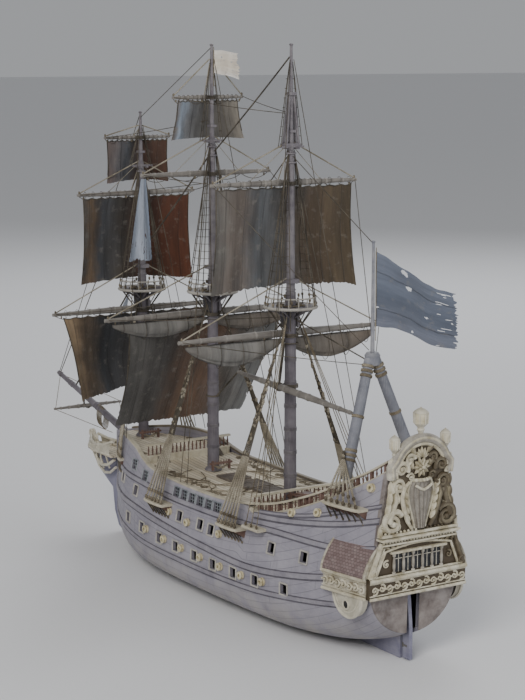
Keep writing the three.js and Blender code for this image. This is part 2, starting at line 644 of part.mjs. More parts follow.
function buildSails() {
  const dark = (name, spec) => add(name, sailSolid(spec), DARK_SAIL);
  dark('fore_course', { x: yardX(FORE, FORE_YARDS.course), head: under(FORE_YARDS.course), foot: 149,
    headHalf: 83, footHalf: 63, belly: 30 });
  dark('fore_topsail', { x: yardX(FORE, FORE_YARDS.topsail), head: under(FORE_YARDS.topsail), foot: 268,
    headHalf: 60, footHalf: 63, belly: 10 });
  dark('fore_topgallant', { x: yardX(FORE, FORE_YARDS.topgallant), head: under(FORE_YARDS.topgallant),
    foot: 366, headHalf: 34, footHalf: 35, belly: 5 });
  dark('main_topgallant', { x: yardX(MAIN, MAIN_YARDS.topgallant), head: under(MAIN_YARDS.topgallant),
    foot: 414, headHalf: 32, footHalf: 41, belly: 4 });
  dark('mizzen_topsail', { x: yardX(MIZZEN, MIZZEN_YARDS.topsail), head: under(MIZZEN_YARDS.topsail),
    foot: 287, headHalf: 71, footHalf: 77, belly: 9 });
  const mainX = yardX(MAIN, MAIN_YARDS.course);
  const gathered = furledSolid(mainX, under(MAIN_YARDS.course), 100, 14, 7);
  const hanging = sailSolid({ x: mainX, head: 240, foot: 142, headHalf: 84, footHalf: 70, belly: 8,
    sweep: 54 });
  add('main_course', geometryOf(join([gathered, hanging])), DARK_SAIL);
  const mizzenX = yardX(MIZZEN, MIZZEN_YARDS.course);
  add('mizzen_course', furledSolid(mizzenX, under(MIZZEN_YARDS.course), 100, 20, 8), DARK_SAIL);
  const topX = yardX(MAIN, MAIN_YARDS.topsail);
  add('main_topsail', loft([
    [[topX - 1, 70, 377.8], [topX + 1, 70, 377.8], [topX + 1, 65, 377.8], [topX - 1, 65, 377.8]],
    [[topX + 1, 79, 340], [topX + 6, 79, 340], [topX + 6, 60, 340], [topX + 1, 60, 340]],
    [[topX + 1, 82, 304], [topX + 7, 82, 304], [topX + 7, 55, 304], [topX + 1, 55, 304]],
  ]), BLUE_CLOTH);
}

// A thin rippled cloth that streams from its pole. Profile rows are [distance, low edge, high edge].
const FLAG_HEADING = [-0.7, -0.714];

function flagSolid(poleX, poleRadius, profile, ripple) {
  const [dx, dy] = FLAG_HEADING;
  const reach = profile[profile.length - 1][0];
  const low = along(profile.map(([d, z]) => [d, z]));
  const high = along(profile.map(([d, , z]) => [d, z]));
  const rings = steps(0, reach, 8).map((d) => {
    const shift = ripple * Math.sin(2 * Math.PI * d / reach);
    const spot = (offset, z) => [
      poleX + (d + poleRadius) * dx - (shift + offset) * dy,
      (d + poleRadius) * dy + (shift + offset) * dx,
      z,
    ];
    return [spot(-0.5, high(d)), spot(0.5, high(d)), spot(0.5, low(d)), spot(-0.5, low(d))];
  });
  return loft(rings);
}

function buildFlags() {
  add('masthead_flag', flagSolid(MAIN.x, 2, [[0, 473, 494], [12, 471, 493], [23, 468, 491]], 1.6),
    PALE_CLOTH);
  add('ensign', flagSolid(AFT.x, 2.4,
    [[0, 270, 332], [26, 266, 316], [48, 256, 304], [66, 252, 297]], 4), BLUE_CLOTH);
}

// ---------------------------------------------------------------- standing rigging
const CHAINS = {
  fore: { mast: FORE, from: 158, to: 184, z: 97, out: 5, head: [-2, 246], count: 3, rope: 0.8 },
  main: { mast: MAIN, from: 33, to: 68, z: 80, out: 13, head: [-2, 258], count: 5, rope: 0.9 },
  mizzen: { mast: MIZZEN, from: -90, to: -58, z: 84, out: 13, head: [-2, 259], count: 5, rope: 0.9 },
};

// Channel on the hull's side with its shrouds, which meet at the masthead.
function shroudGang({ mast, from, to, z, out, head, count, rope }, side) {
  const outline = [
    ...steps(from, to, 4).map((x) => [x, side * (halfBreadth(x, z) - 4)]),
    ...steps(to, from, 4).map((x) => [x, side * (halfBreadth(x, z) + out)]),
  ];
  const shelf = plate(outline, 2.4, 'z').translate(0, 0, z);
  const top = [mast.x + head[0], side * (mast.radius + 1.6), head[1]];
  const ropes = steps(from + 3, to - 3, count - 1).map((x) =>
    rod([x, side * (halfBreadth(x, z) + out - 2.5), z], top, rope, rope, 4));
  const seizing = rod([top[0], top[1], top[2] - 4], [top[0], top[1], top[2] + 1], 1.1, 1.1, 6);
  return join([shelf, ...ropes, seizing]).subtract(solid(hullOuter(GAP, 0)));
}

const AFT_SEIZING = [-204, 36.6, 171];

// Shrouds of the aft mast run from its channel to the foot of the leg.
function aftGang(side) {
  const z = 130;
  const outline = [
    ...steps(-238, -196, 4).map((x) => [raked(x, z), side * (halfBreadth(x, z) - 4)]),
    ...steps(-196, -238, 4).map((x) => [raked(x, z), side * (halfBreadth(x, z) + 11)]),
  ];
  const shelf = plate(outline, 2.4, 'z').translate(0, 0, z);
  const ropes = steps(-235, -199, 4).map((x) =>
    rod([x, side * (halfBreadth(x, z) + 8.5), z],
      [AFT_SEIZING[0], side * AFT_SEIZING[1], AFT_SEIZING[2]], 1, 1, 4));
  const [sx, sy, sz] = AFT_SEIZING;
  const seizing = rod([sx, side * sy, sz - 2], [sx, side * sy, sz + 2], 1.6, 1.2, 6);
  return join([shelf, ...ropes, seizing]).subtract(solid(hullOuter(GAP, 0)));
}

function buildShrouds() {
  SIDES.forEach(([sideName, side]) => {
    Object.entries(CHAINS).forEach(([mast, spec]) => {
      const pieces = shroudGang(spec, side).decompose().sort((a, b) => b.volume() - a.volume());
      add(`${mast}_shrouds_${sideName}`, geometryOf(pieces[0]), ROPE);
    });
    const aft = aftGang(side).decompose().sort((a, b) => b.volume() - a.volume());
    add(`aft_shrouds_${sideName}`, geometryOf(aft[0]), ROPE);
  });
}

// Stay in the middle plane between the collars round two masts.
function stay(fromMast, fromZ, fromRadius, toMast, toZ, toRadius) {
  const collar = (mast, z, r) => solid(rod([mast.x, 0, z - 1], [mast.x, 0, z + 1], r + 2, r + 2, 10))
    .subtract(solid(rod([mast.x, 0, z - 2], [mast.x, 0, z + 2], r + GAP, r + GAP, 10)));
  const rope = rod([fromMast.x + fromRadius + 1.2, 0, fromZ], [toMast.x - toRadius - 1.2, 0, toZ],
    STAY_RADIUS, STAY_RADIUS, 5);
  return solid(rope).add(collar(fromMast, fromZ, fromRadius)).add(collar(toMast, toZ, toRadius));
}

// The fore stay, with the small triangular sail that is set on it.
function foreStay() {
  const [topX, topZ, lowX, lowZ] = [222.8, 256, 330, 135.4];
  const rope = rod([topX, 0, topZ], [lowX, 0, lowZ], STAY_RADIUS, STAY_RADIUS, 5);
  const sail = plate([[224, 254], [300, 167.5], [238, 214]], CLOTH, 'y');
  return join([rope, sail]);
}

function buildStays() {
  add('fore_staysail', geometryOf(foreStay()), BLUE_CLOTH);
  add('main_stay', geometryOf(stay(MAIN, 398, 3.5, FORE, 300, 4)), ROPE);
  add('mizzen_stay', geometryOf(stay(MIZZEN, 488, 1.6, MAIN, 402, 3.4)), ROPE);
}

// ---------------------------------------------------------------- assembly
buildHull();
buildKeel();
buildRudder();
buildDecks();
buildCrossRails();
buildSideRails();
buildBow();
buildTransom();
buildTaffrail();
buildGalleries();
buildGuns();
buildMasts();
buildYards();
buildSails();
buildFlags();
buildShrouds();
buildStays();

export default ship;
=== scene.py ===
"""A model sailing ship's looks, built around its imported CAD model.

Sizes and places are in millimetres in the ship's own frame: +X to the bow, +Y to port, +Z up from the
keel's underside. MM turns them into Blender's metres where a mesh is made.
"""

import math
import random

import bpy
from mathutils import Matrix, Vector, noise


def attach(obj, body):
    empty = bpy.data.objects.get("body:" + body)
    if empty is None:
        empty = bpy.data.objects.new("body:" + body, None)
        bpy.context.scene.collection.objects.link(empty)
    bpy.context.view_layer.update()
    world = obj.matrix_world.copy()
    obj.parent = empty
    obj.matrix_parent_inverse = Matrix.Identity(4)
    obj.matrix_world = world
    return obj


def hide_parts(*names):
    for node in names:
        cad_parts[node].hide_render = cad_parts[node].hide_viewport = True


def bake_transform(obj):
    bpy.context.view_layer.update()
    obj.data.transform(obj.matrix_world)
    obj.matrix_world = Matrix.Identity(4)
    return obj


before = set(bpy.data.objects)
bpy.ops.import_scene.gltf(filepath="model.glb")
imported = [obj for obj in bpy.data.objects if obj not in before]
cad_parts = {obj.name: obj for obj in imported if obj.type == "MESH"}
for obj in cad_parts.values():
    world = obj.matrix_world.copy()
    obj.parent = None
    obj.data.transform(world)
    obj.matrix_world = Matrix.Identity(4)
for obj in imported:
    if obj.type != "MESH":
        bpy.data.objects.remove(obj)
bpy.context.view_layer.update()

MM = 0.001
SIDES = (1, -1)
SIDE_NAME = {1: "port", -1: "starboard"}
random.seed(7)


def lerp(a, b, t):
    return a + (b - a) * t


def smoothstep(x, low, high):
    t = min(max((x - low) / (high - low), 0), 1)
    return t * t * (3 - 2 * t)


def steps(start, end, count):
    return [lerp(start, end, i / count) for i in range(count + 1)]


def curve_through(pairs):
    """A smooth curve through (x, value) pairs, level outside them."""
    xs, vs = [p[0] for p in pairs], [p[1] for p in pairs]
    last = len(pairs) - 1

    def slope(i):
        a, b = max(i - 1, 0), min(i + 1, last)
        return (vs[b] - vs[a]) / (xs[b] - xs[a])

    def value(x):
        if x <= xs[0]:
            return vs[0]
        if x >= xs[last]:
            return vs[last]
        i = next(k for k in range(last) if x < xs[k + 1])
        w = xs[i + 1] - xs[i]
        t = (x - xs[i]) / w
        t2, t3 = t * t, t * t * t
        ends = vs[i] * (2 * t3 - 3 * t2 + 1) + vs[i + 1] * (3 * t2 - 2 * t3)
        return ends + w * (slope(i) * (t3 - 2 * t2 + t) + slope(i + 1) * (t3 - t2))

    return value


def rough(x, y, z, scale):
    """Smooth noise from about -1 to 1 at a place, with features of about the given size in mm."""
    return noise.noise(Vector((x, y, z)) / scale)


# ------------------------------------------------------------------ shapes, as (points, faces)
def bar(x, y, z, sx, sy, sz):
    """A box with its middle at a place."""
    points = [(x + a * sx / 2, y + b * sy / 2, z + c * sz / 2)
              for a in (-1, 1) for b in (-1, 1) for c in (-1, 1)]
    faces = [(0, 1, 3, 2), (4, 6, 7, 5), (0, 4, 5, 1), (2, 3, 7, 6), (0, 2, 6, 4), (1, 5, 7, 3)]
    return points, faces


def skin(rows, wrap=False, caps=False):
    """A surface over rows of points. wrap joins each row's ends; caps closes the first and last row."""
    n = len(rows[0])
    points = [p for row in rows for p in row]
    faces = []
    for i in range(len(rows) - 1):
        for j in range(n if wrap else n - 1):
            a, b = i * n + j, i * n + (j + 1) % n
            faces.append((a, b, b + n, a + n))
    if caps:
        faces.append(tuple(range(n))[::-1])
        faces.append(tuple((len(rows) - 1) * n + j for j in range(n)))
    return points, faces


def tube(path, radius, sides=8, squash=1.0, closed=False):
    """A round bar along a path. radius is one number or one for each point."""
    path = [Vector(p) for p in path]
    count = len(path)
    radii = radius if hasattr(radius, "__len__") else [radius] * count
    rows, side = [], None
    for i, p in enumerate(path):
        before = path[i - 1] if i or closed else p
        after = path[(i + 1) % count] if i < count - 1 or closed else p
        ahead = (after - before).normalized()
        if side is None:
            guess = Vector((0, 0, 1)) if abs(ahead.z) < 0.9 else Vector((1, 0, 0))
            side = ahead.cross(guess).normalized()
        side = (side - ahead * side.dot(ahead)).normalized()
        up = ahead.cross(side)
        rows.append([p + (side * math.cos(t) + up * math.sin(t) * squash) * radii[i]
                     for t in (2 * math.pi * k / sides for k in range(sides))])
    if closed:
        rows.append(rows[0])
    return skin(rows, wrap=True, caps=not closed)


def rod(start, end, radius, end_radius=None, sides=10):
    return tube([start, end], [radius, radius if end_radius is None else end_radius], sides)


def lathe(profile, at=(0, 0, 0), axis=(0, 0, 1), sides=20):
    """(radius, height) pairs turned about an axis through a place."""
    turn = Vector((0, 0, 1)).rotation_difference(Vector(axis))
    place = Vector(at)
    rows = []
    for r, h in profile:
        rows.append([place + turn @ Vector((r * math.cos(t), r * math.sin(t), h))
                     for t in (2 * math.pi * k / sides for k in range(sides))])
    return skin(rows, wrap=True, caps=True)


def plate(outline, low, high, place):
    """A flat outline thickened from low to high. place(u, v, w) gives the point."""
    n = len(outline)
    points = [place(u, v, w) for w in (low, high) for u, v in outline]
    faces = [tuple(range(n))[::-1], tuple(range(n, 2 * n))]
    faces += [(i, (i + 1) % n, n + (i + 1) % n, n + i) for i in range(n)]
    return points, faces


def ball(at, radius, stretch=(1, 1, 1), sides=12):
    x, y, z = at
    rows = []
    for a in steps(-math.pi / 2 + 0.05, math.pi / 2 - 0.05, sides // 2):
        rows.append([(x + radius * math.cos(a) * math.cos(t) * stretch[0],
                      y + radius * math.cos(a) * math.sin(t) * stretch[1],
                      z + radius * math.sin(a) * stretch[2])
                     for t in (2 * math.pi * k / sides for k in range(sides))])
    return skin(rows, wrap=True, caps=True)


def moved(part, change):
    """The part with each point put through change(x, y, z)."""
    points, faces = part
    return [change(*p) for p in points], faces


def sagging(start, end, sag, count=8):
    """Points of a line that hangs between two places."""
    a, b = Vector(start), Vector(end)
    return [a.lerp(b, t) - Vector((0, 0, 4 * sag * t * (1 - t))) for t in steps(0, 1, count)]


def mesh_object(name, parts, material, sharp=35):
    points, faces = [], []
    for part_points, part_faces in parts:
        base = len(points)
        points += [Vector(p) * MM for p in part_points]
        faces += [tuple(i + base for i in f) for f in part_faces]
    mesh = bpy.data.meshes.new(name)
    mesh.from_pydata(points, [], faces)
    mesh.validate()
    mesh.shade_smooth()
    mesh.set_sharp_from_angle(angle=math.radians(sharp))
    mesh.materials.append(material)
    made = bpy.data.objects.new(name, mesh)
    bpy.context.scene.collection.objects.link(made)
    return made


def piece(name, parts, material, body="hull", replaces=(), sharp=35):
    """A mesh of several parts that rides on a body."""
    made = mesh_object(name, parts, material, sharp)
    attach(made, body)
    if replaces:
        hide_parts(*replaces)
    return made


def face_outwards(made):
    """Turns a closed mesh's faces to point out."""
    bpy.context.view_layer.objects.active = made
    made.select_set(True)
    bpy.ops.object.mode_set(mode="EDIT")
    bpy.ops.mesh.select_all(action="SELECT")
    bpy.ops.mesh.normals_make_consistent(inside=False)
    bpy.ops.object.mode_set(mode="OBJECT")
    made.select_set(False)


# ------------------------------------------------------------------ camera, lights and floor
def build_stage():
    camera_data = bpy.data.cameras.new("camera")
    camera_data.sensor_fit = "VERTICAL"
    camera_data.sensor_height = 36
    camera_data.lens = 94.5
    camera = bpy.data.objects.new("camera", camera_data)
    camera.location = (-1.39928, 0.88266, 0.49395)
    camera.rotation_euler = Vector((0.8305, -0.5332, -0.1611)).to_track_quat("-Z", "Y").to_euler()
    bpy.context.scene.collection.objects.link(camera)
    bpy.context.scene.camera = camera

    floor_material = Shader("floor_paper", roughness=0.9)
    floor_material.colour(floor_material.mix(
        floor_material.noise(0.4, detail=2), (0.74, 0.74, 0.75), (0.78, 0.78, 0.79)))
    reach = 30000
    corners = [(-reach, -reach, -0.3), (reach, -reach, -0.3), (reach, reach, -0.3), (-reach, reach, -0.3)]
    floor = mesh_object("floor", [(corners, [(0, 1, 2, 3)])], floor_material.made)

    def area(name, place, size, power, tint):
        data = bpy.data.lights.new(name, "AREA")
        data.shape = "SQUARE"
        data.size = size
        data.energy = power
        data.color = tint
        lamp = bpy.data.objects.new(name, data)
        lamp.location = place
        aim = Vector((0, 0, 0.2)) - Vector(place)
        lamp.rotation_euler = aim.to_track_quat("-Z", "Y").to_euler()
        bpy.context.scene.collection.objects.link(lamp)

    area("key", (-1.5, 1.9, 1.7), 1.2, 46, (1, 0.98, 0.95))
    area("fill", (-2.2, -0.8, 0.9), 1.6, 15, (0.93, 0.96, 1))
    area("back", (1.6, -1.6, 1.8), 1.6, 26, (0.95, 0.97, 1))

    world = bpy.data.worlds.new("studio")
    world.use_nodes = True
    world.node_tree.nodes["Background"].inputs["Color"].default_value = (0.85, 0.87, 0.9, 1)
    world.node_tree.nodes["Background"].inputs["Strength"].default_value = 0.42
    bpy.context.scene.world = world


# ------------------------------------------------------------------ materials
class Shader:
    """A material under construction: each call adds nodes and returns an output socket."""

    def __init__(self, name, roughness=0.6, metallic=0.0, specular=0.4, sheen=0.0):
        self.made = bpy.data.materials.new(name)
        self.made.use_nodes = True
        self.tree = self.made.node_tree
        self.base = self.tree.nodes["Principled BSDF"]
        self.base.inputs["Roughness"].default_value = roughness
        self.base.inputs["Metallic"].default_value = metallic
        self.base.inputs["Specular IOR Level"].default_value = specular
        self.base.inputs["Sheen Weight"].default_value = sheen
        self.place = self.node("ShaderNodeTexCoord").outputs["Object"]

    def node(self, kind, inputs=None, **settings):
        n = self.tree.nodes.new(kind)
        for key, value in settings.items():
            setattr(n, key, value)
        for key, value in (inputs or {}).items():
            if isinstance(value, bpy.types.NodeSocket):
                self.tree.links.new(value, n.inputs[key])
            else:
                n.inputs[key].default_value = value
        return n

    def uv(self):
        return self.node("ShaderNodeTexCoord").outputs["UV"]

    def scaled(self, scale, where=None, turn=(0, 0, 0)):
        return self.node("ShaderNodeMapping", {"Vector": where or self.place, "Scale": scale,
                                               "Rotation": turn}).outputs["Vector"]

    def noise(self, scale, detail=4, stretch=(1, 1, 1), where=None, roughness=0.6, distortion=0):
        """Noise with about scale features in a millimetre along each axis, stretched."""
        vector = self.scaled([1000 * scale * s for s in stretch], where)
        return self.node("ShaderNodeTexNoise", {
            "Vector": vector, "Scale": 1.0, "Detail": detail, "Roughness": roughness,
            "Distortion": distortion}).outputs["Fac"]

    def ramp(self, value, low, high, start=0.0, end=1.0):
        """The value from low to high, spread over start to end."""
        return self.node("ShaderNodeMapRange", {"Value": value, "From Min": low, "From Max": high,
                                                "To Min": start, "To Max": end}).outputs["Result"]

    def math(self, operation, a, b=0.0):
        return self.node("ShaderNodeMath", {0: a, 1: b}, operation=operation).outputs[0]

    def mix(self, amount, a, b):
        four = [(*c, 1) if isinstance(c, tuple) else c for c in (a, b)]
        n = self.node("ShaderNodeMix", {"Factor": amount}, data_type="RGBA")
        for socket, value in zip((n.inputs[6], n.inputs[7]), four):
            if isinstance(value, bpy.types.NodeSocket):
                self.tree.links.new(value, socket)
            else:
                socket.default_value = value
        return n.outputs[2]

    def worn(self, colour, edge, hollow_shade, edge_amount=0.5, hollow_shade_amount=0.7):
        """Pale wear on raised edges, and painted shade in hollows: concave places are darkened towards the
        shade colour.
        """
        shape = self.node("ShaderNodeNewGeometry").outputs["Pointiness"]
        patchy = self.noise(0.12, detail=5)
        raised = self.math("MULTIPLY", self.ramp(shape, 0.52, 0.60, 0, edge_amount),
                           self.ramp(patchy, 0.35, 0.6))
        # Painted shade: the more concave a place, the more of the shade colour it takes.
        hollow = self.ramp(shape, 0.49, 0.42, 0, hollow_shade_amount)
        return self.mix(hollow, self.mix(raised, colour, edge), hollow_shade)

    def colour(self, socket):
        self.tree.links.new(socket, self.base.inputs["Base Color"])

    def roughness(self, socket):
        self.tree.links.new(socket, self.base.inputs["Roughness"])

    def bump(self, height, distance=0.3, strength=1.0):
        """Bumps of about distance millimetres. A second call adds to the first."""
        inputs = {"Height": height, "Distance": distance * MM, "Strength": strength}
        before = self.base.inputs["Normal"].links
        if before:
            inputs["Normal"] = before[0].from_socket
        n = self.node("ShaderNodeBump", inputs)
        self.tree.links.new(n.outputs["Normal"], self.base.inputs["Normal"])

    def bricks(self, where, width, height, gap, offset=0.5):
        """Brick pattern of the given size in the vector's own units: its colour shade and its gaps."""
        n = self.node("ShaderNodeTexBrick", {
            "Vector": where, "Color1": (0, 0, 0, 1), "Color2": (1, 1, 1, 1), "Mortar": (0.5, 0.5, 0.5, 1),
            "Scale": 1.0, "Mortar Size": gap, "Mortar Smooth": 0.3, "Bias": 0.0, "Brick Width": width,
            "Row Height": height}, offset=offset, offset_frequency=2)
        return n.outputs["Color"], n.outputs["Fac"]


def hull_paint():
    """Lilac-grey paint over planks, with faint seams along the strakes. UV is (mm along, mm up the side)."""
    s = Shader("hull_paint", roughness=0.55, specular=0.35)
    shade, seam = s.bricks(s.uv(), 96, 7.4, 0.22, offset=0.37)
    long_grain = s.noise(0.9, detail=5, stretch=(0.05, 1, 0.6))
    patches = s.noise(0.018, detail=5)
    paint = s.mix(s.ramp(patches, 0.35, 0.68), (0.255, 0.242, 0.285), (0.36, 0.343, 0.385))
    paint = s.mix(s.ramp(shade, 0, 1, 0, 0.16), paint, (0.19, 0.18, 0.215))
    paint = s.mix(s.ramp(long_grain, 0.5, 0.8, 0, 0.4), paint, (0.42, 0.40, 0.43))
    parts = s.node("ShaderNodeSeparateXYZ", {0: s.place}).outputs
    # Patchy paler paint low on the hull, fading out by 40 mm above the keel's underside.
    paler_low_patches = s.math("MULTIPLY", s.ramp(parts["Z"], 0.040, 0.008),
                      s.ramp(s.noise(0.05, detail=6), 0.38, 0.58))
    paint = s.mix(s.math("MULTIPLY", paler_low_patches, 0.7), paint, (0.46, 0.43, 0.38))
    paint = s.mix(s.math("MULTIPLY", seam, 0.34), paint, (0.07, 0.062, 0.08))
    streaks = s.noise(0.16, detail=6, stretch=(1, 1, 0.14))
    paint = s.mix(s.ramp(streaks, 0.54, 0.78, 0, 0.3), paint, (0.13, 0.115, 0.12))
    tuck = s.mix(s.ramp(s.noise(0.06, detail=6), 0.36, 0.66), (0.13, 0.105, 0.095), (0.25, 0.215, 0.195))
    paint = s.mix(s.ramp(parts["X"], -0.2496, -0.2506), paint, tuck)
    # Pale wear on raised edges; the hollows are darkened with painted shade.
    s.colour(s.worn(paint, (0.52, 0.50, 0.50), (0.06, 0.055, 0.065), 0.4, 0.6))
    s.roughness(s.ramp(s.noise(0.2, detail=5), 0.3, 0.7, 0.42, 0.68))
    s.bump(s.math("SUBTRACT", 1.0, seam), 0.22)
    s.bump(long_grain, 0.12, 0.6)
    return s.made


def painted_wood(name, dark, light, edge, grain_axis=(1, 1, 0.06), worn=0.5, hollow_shade=(0.03, 0.028, 0.03)):
    """Painted or stained wood whose grain runs along one axis."""
    s = Shader(name, roughness=0.55, specular=0.35)
    grain = s.noise(1.1, detail=5, stretch=grain_axis)
    patches = s.noise(0.05, detail=5)
    paint = s.mix(s.ramp(patches, 0.34, 0.68), dark, light)
    paint = s.mix(s.ramp(grain, 0.52, 0.78, 0, 0.5), paint, edge)
    # Pale wear on raised edges; the hollows are darkened with painted shade.
    s.colour(s.worn(paint, edge, hollow_shade, worn, 0.7))
    s.roughness(s.ramp(grain, 0.3, 0.7, 0.45, 0.7))
    s.bump(grain, 0.16)
    return s.made


def deck_wood():
    """Pale planks along the ship with dark caulking."""
    s = Shader("deck_wood", roughness=0.7, specular=0.25)
    flat = s.scaled((1000, 1000, 1000))
    shade, seam = s.bricks(flat, 70, 4.6, 0.26, offset=0.41)
    grain = s.noise(1.3, detail=5, stretch=(0.05, 1, 1))
    wood = s.mix(s.ramp(shade, 0, 1), (0.56, 0.49, 0.365), (0.74, 0.68, 0.55))
    wood = s.mix(s.ramp(grain, 0.45, 0.75, 0, 0.55), wood, (0.46, 0.375, 0.265))
    wood = s.mix(s.ramp(s.noise(0.03, detail=5), 0.5, 0.75, 0, 0.5), wood, (0.40, 0.345, 0.27))
    s.colour(s.mix(s.math("MULTIPLY", seam, 0.85), wood, (0.05, 0.04, 0.03)))
    s.bump(s.math("SUBTRACT", 1.0, seam), 0.25)
    s.bump(grain, 0.10, 0.7)
    return s.made


def carved_paint(name="carved_cream", low=(0.20, 0.165, 0.085), high=(0.50, 0.44, 0.29)):
    """Old cream and gold paint on carvings, with brown painted shade in the hollows."""
    s = Shader(name, roughness=0.5, specular=0.4)
    patches = s.noise(0.11, detail=6)
    fine = s.noise(0.9, detail=4)
    paint = s.mix(s.ramp(patches, 0.36, 0.66), low, high)
    paint = s.mix(s.ramp(fine, 0.55, 0.8, 0, 0.4), paint, (0.62, 0.57, 0.44))
    s.colour(s.worn(paint, (0.72, 0.68, 0.56), (0.055, 0.038, 0.02), 0.75, 0.9))
    s.roughness(s.ramp(patches, 0.3, 0.7, 0.38, 0.62))
    s.bump(fine, 0.18)
    return s.made


def roof_shingles():
    """Maroon shingles with darker joints. UV is (mm along, mm up the roof)."""
    s = Shader("gallery_roof", roughness=0.6, specular=0.3)
    shade, seam = s.bricks(s.uv(), 3.2, 2.5, 0.26)
    paint = s.mix(s.ramp(shade, 0, 1), (0.175, 0.122, 0.117), (0.255, 0.188, 0.18))
    paint = s.mix(s.ramp(s.noise(0.14, detail=5), 0.5, 0.72, 0, 0.6), paint, (0.33, 0.27, 0.255))
    s.colour(s.mix(s.math("MULTIPLY", seam, 0.5), paint, (0.055, 0.036, 0.034)))
    s.bump(s.math("SUBTRACT", 1.0, seam), 0.5)
    s.bump(s.noise(0.9), 0.15)
    return s.made


def sail_cloth(name, width, shades, dirt=(0.022, 0.019, 0.018), stripe_at=21):
    """Weathered sailcloth in vertical panels.

    shades are (share of the width, colour); in sail_fore the last band is a painted highlight. UV is (mm
    across, mm down).
    """
    s = Shader(name, roughness=0.9, specular=0.12, sheen=0.15)
    flat = s.uv()
    across = s.node("ShaderNodeSeparateXYZ", {0: flat}).outputs["X"]
    down = s.node("ShaderNodeSeparateXYZ", {0: flat}).outputs["Y"]
    wander = s.math("SUBTRACT", s.noise(0.00003, detail=4, where=flat), 0.5)
    place = s.math("ADD", s.math("DIVIDE", across, width), s.math("MULTIPLY", wander, 0.34))
    tone = s.node("ShaderNodeValToRGB", {"Fac": place})
    band = tone.color_ramp.elements
    while len(band) < len(shades):
        band.new(0.5)
    for stop, (share, shade) in zip(band, shades):
        stop.position = share
        stop.color = (*shade, 1)
    streaks = s.noise(0.0000625, detail=6, stretch=(1, 0.13, 1), where=flat)
    fine = s.noise(0.00042, detail=5, stretch=(1, 0.08, 1), where=flat)
    cloth = s.mix(s.ramp(streaks, 0.36, 0.62, 0.55, 0.0), tone.outputs["Color"], dirt)
    cloth = s.mix(s.ramp(fine, 0.5, 0.8, 0, 0.4), cloth, dirt)
    worn_foot = s.math("MULTIPLY", s.ramp(s.noise(0.00012, detail=6, where=flat), 0.56, 0.7), 0.35)
    cloth = s.mix(worn_foot, cloth, (0.26, 0.24, 0.21))
    panel = s.math("ABSOLUTE", s.math("SUBTRACT", s.math("FRACT", s.math("DIVIDE", across, stripe_at)), 0.5))
    seam = s.ramp(panel, 0.03, 0.0)
    s.colour(s.mix(s.math("MULTIPLY", seam, 0.4), cloth, (0.02, 0.016, 0.014)))
    weave_x = s.math("SINE", s.math("MULTIPLY", across, 9.0))
    weave_y = s.math("SINE", s.math("MULTIPLY", down, 9.0))
    s.bump(s.math("MULTIPLY", weave_x, weave_y), 0.08)
    s.bump(seam, 0.4)
    s.bump(fine, 0.3)
    return s.made


def rope_fibre(name="rope", dark=(0.075, 0.058, 0.04), light=(0.30, 0.245, 0.17)):
    """Twisted cord, worn in places."""
    s = Shader(name, roughness=0.85, specular=0.15)
    twist = s.node("ShaderNodeTexWave", {
        "Vector": s.scaled((1000, 1000, 1000), turn=(0.5, 0.6, 0.3)), "Scale": 0.55, "Distortion": 1.5,
        "Detail": 2.0, "Detail Scale": 2.0}, bands_direction="DIAGONAL").outputs["Fac"]
    patches = s.noise(0.05, detail=5)
    cord = s.mix(s.ramp(patches, 0.36, 0.66), dark, light)
    s.colour(s.mix(s.ramp(twist, 0.55, 0.1, 0, 0.6), cord, (0.03, 0.024, 0.018)))
    s.bump(twist, 0.25)
    return s.made


def aged_brass():
    s = Shader("brass", roughness=0.42, metallic=0.35, specular=0.5)
    tarnish = s.noise(0.25, detail=5)
    metal = s.mix(s.ramp(tarnish, 0.38, 0.66), (0.72, 0.64, 0.42), (0.36, 0.29, 0.15))
    # Pale wear on raised edges; the hollows are darkened with painted shade.
    s.colour(s.worn(metal, (0.85, 0.80, 0.62), (0.06, 0.045, 0.025), 0.5, 0.8))
    s.roughness(s.ramp(tarnish, 0.3, 0.7, 0.32, 0.6))
    s.bump(s.noise(1.2, detail=3), 0.08)
    return s.made


def dark_glass():
    s = Shader("window_glass", roughness=0.3, specular=0.3)
    s.colour(s.mix(s.ramp(s.noise(0.2, detail=3), 0.3, 0.7), (0.010, 0.011, 0.013), (0.032, 0.033, 0.037)))
    s.roughness(s.ramp(s.noise(0.5, detail=4), 0.3, 0.7, 0.25, 0.5))
    s.bump(s.noise(0.3, detail=2), 0.1)
    return s.made


# ------------------------------------------------------------------ hull form, as in the CAD model
STERN_X, WALL = -252, 3
beam_at = curve_through([(-252, 42), (-232, 47.5), (-200, 55), (-150, 61), (-80, 65), (0, 67.5), (80, 66),
                         (130, 59), (163, 48.5), (182, 39), (201, 28), (219, 17.5), (238, 7), (252, 2.2)])
top_beam_at = curve_through([(-252, 27), (-232, 32), (-200, 39), (-150, 46), (-80, 53), (0, 56.5),
                             (80, 54), (130, 47), (163, 38.5), (182, 31.5), (201, 23), (219, 14.5),
                             (238, 6), (252, 2.2)])
bottom_at = curve_through([(-252, 25), (-235, 17), (-200, 7), (-165, 3), (-120, 1.8), (0, 1.8),
                           (200, 1.8), (225, 3), (238, 7), (252, 24)])
widest_at = curve_through([(-252, 64), (-200, 54), (-100, 46), (100, 46), (180, 60), (252, 80)])
rail_at = curve_through([(-272, 185), (-252, 174), (-230, 160), (-200, 144), (-165, 128.5), (-120, 113),
                         (-80, 105.5), (-45, 102.5), (10, 102), (60, 103), (90, 105), (110, 110),
                         (130, 117), (173, 120), (210, 116), (252, 108)])
fullness_at = curve_through([(-252, 2), (-200, 2.4), (-120, 3.4), (0, 3.6), (100, 3.4), (180, 2.6),
                             (252, 1.8)])

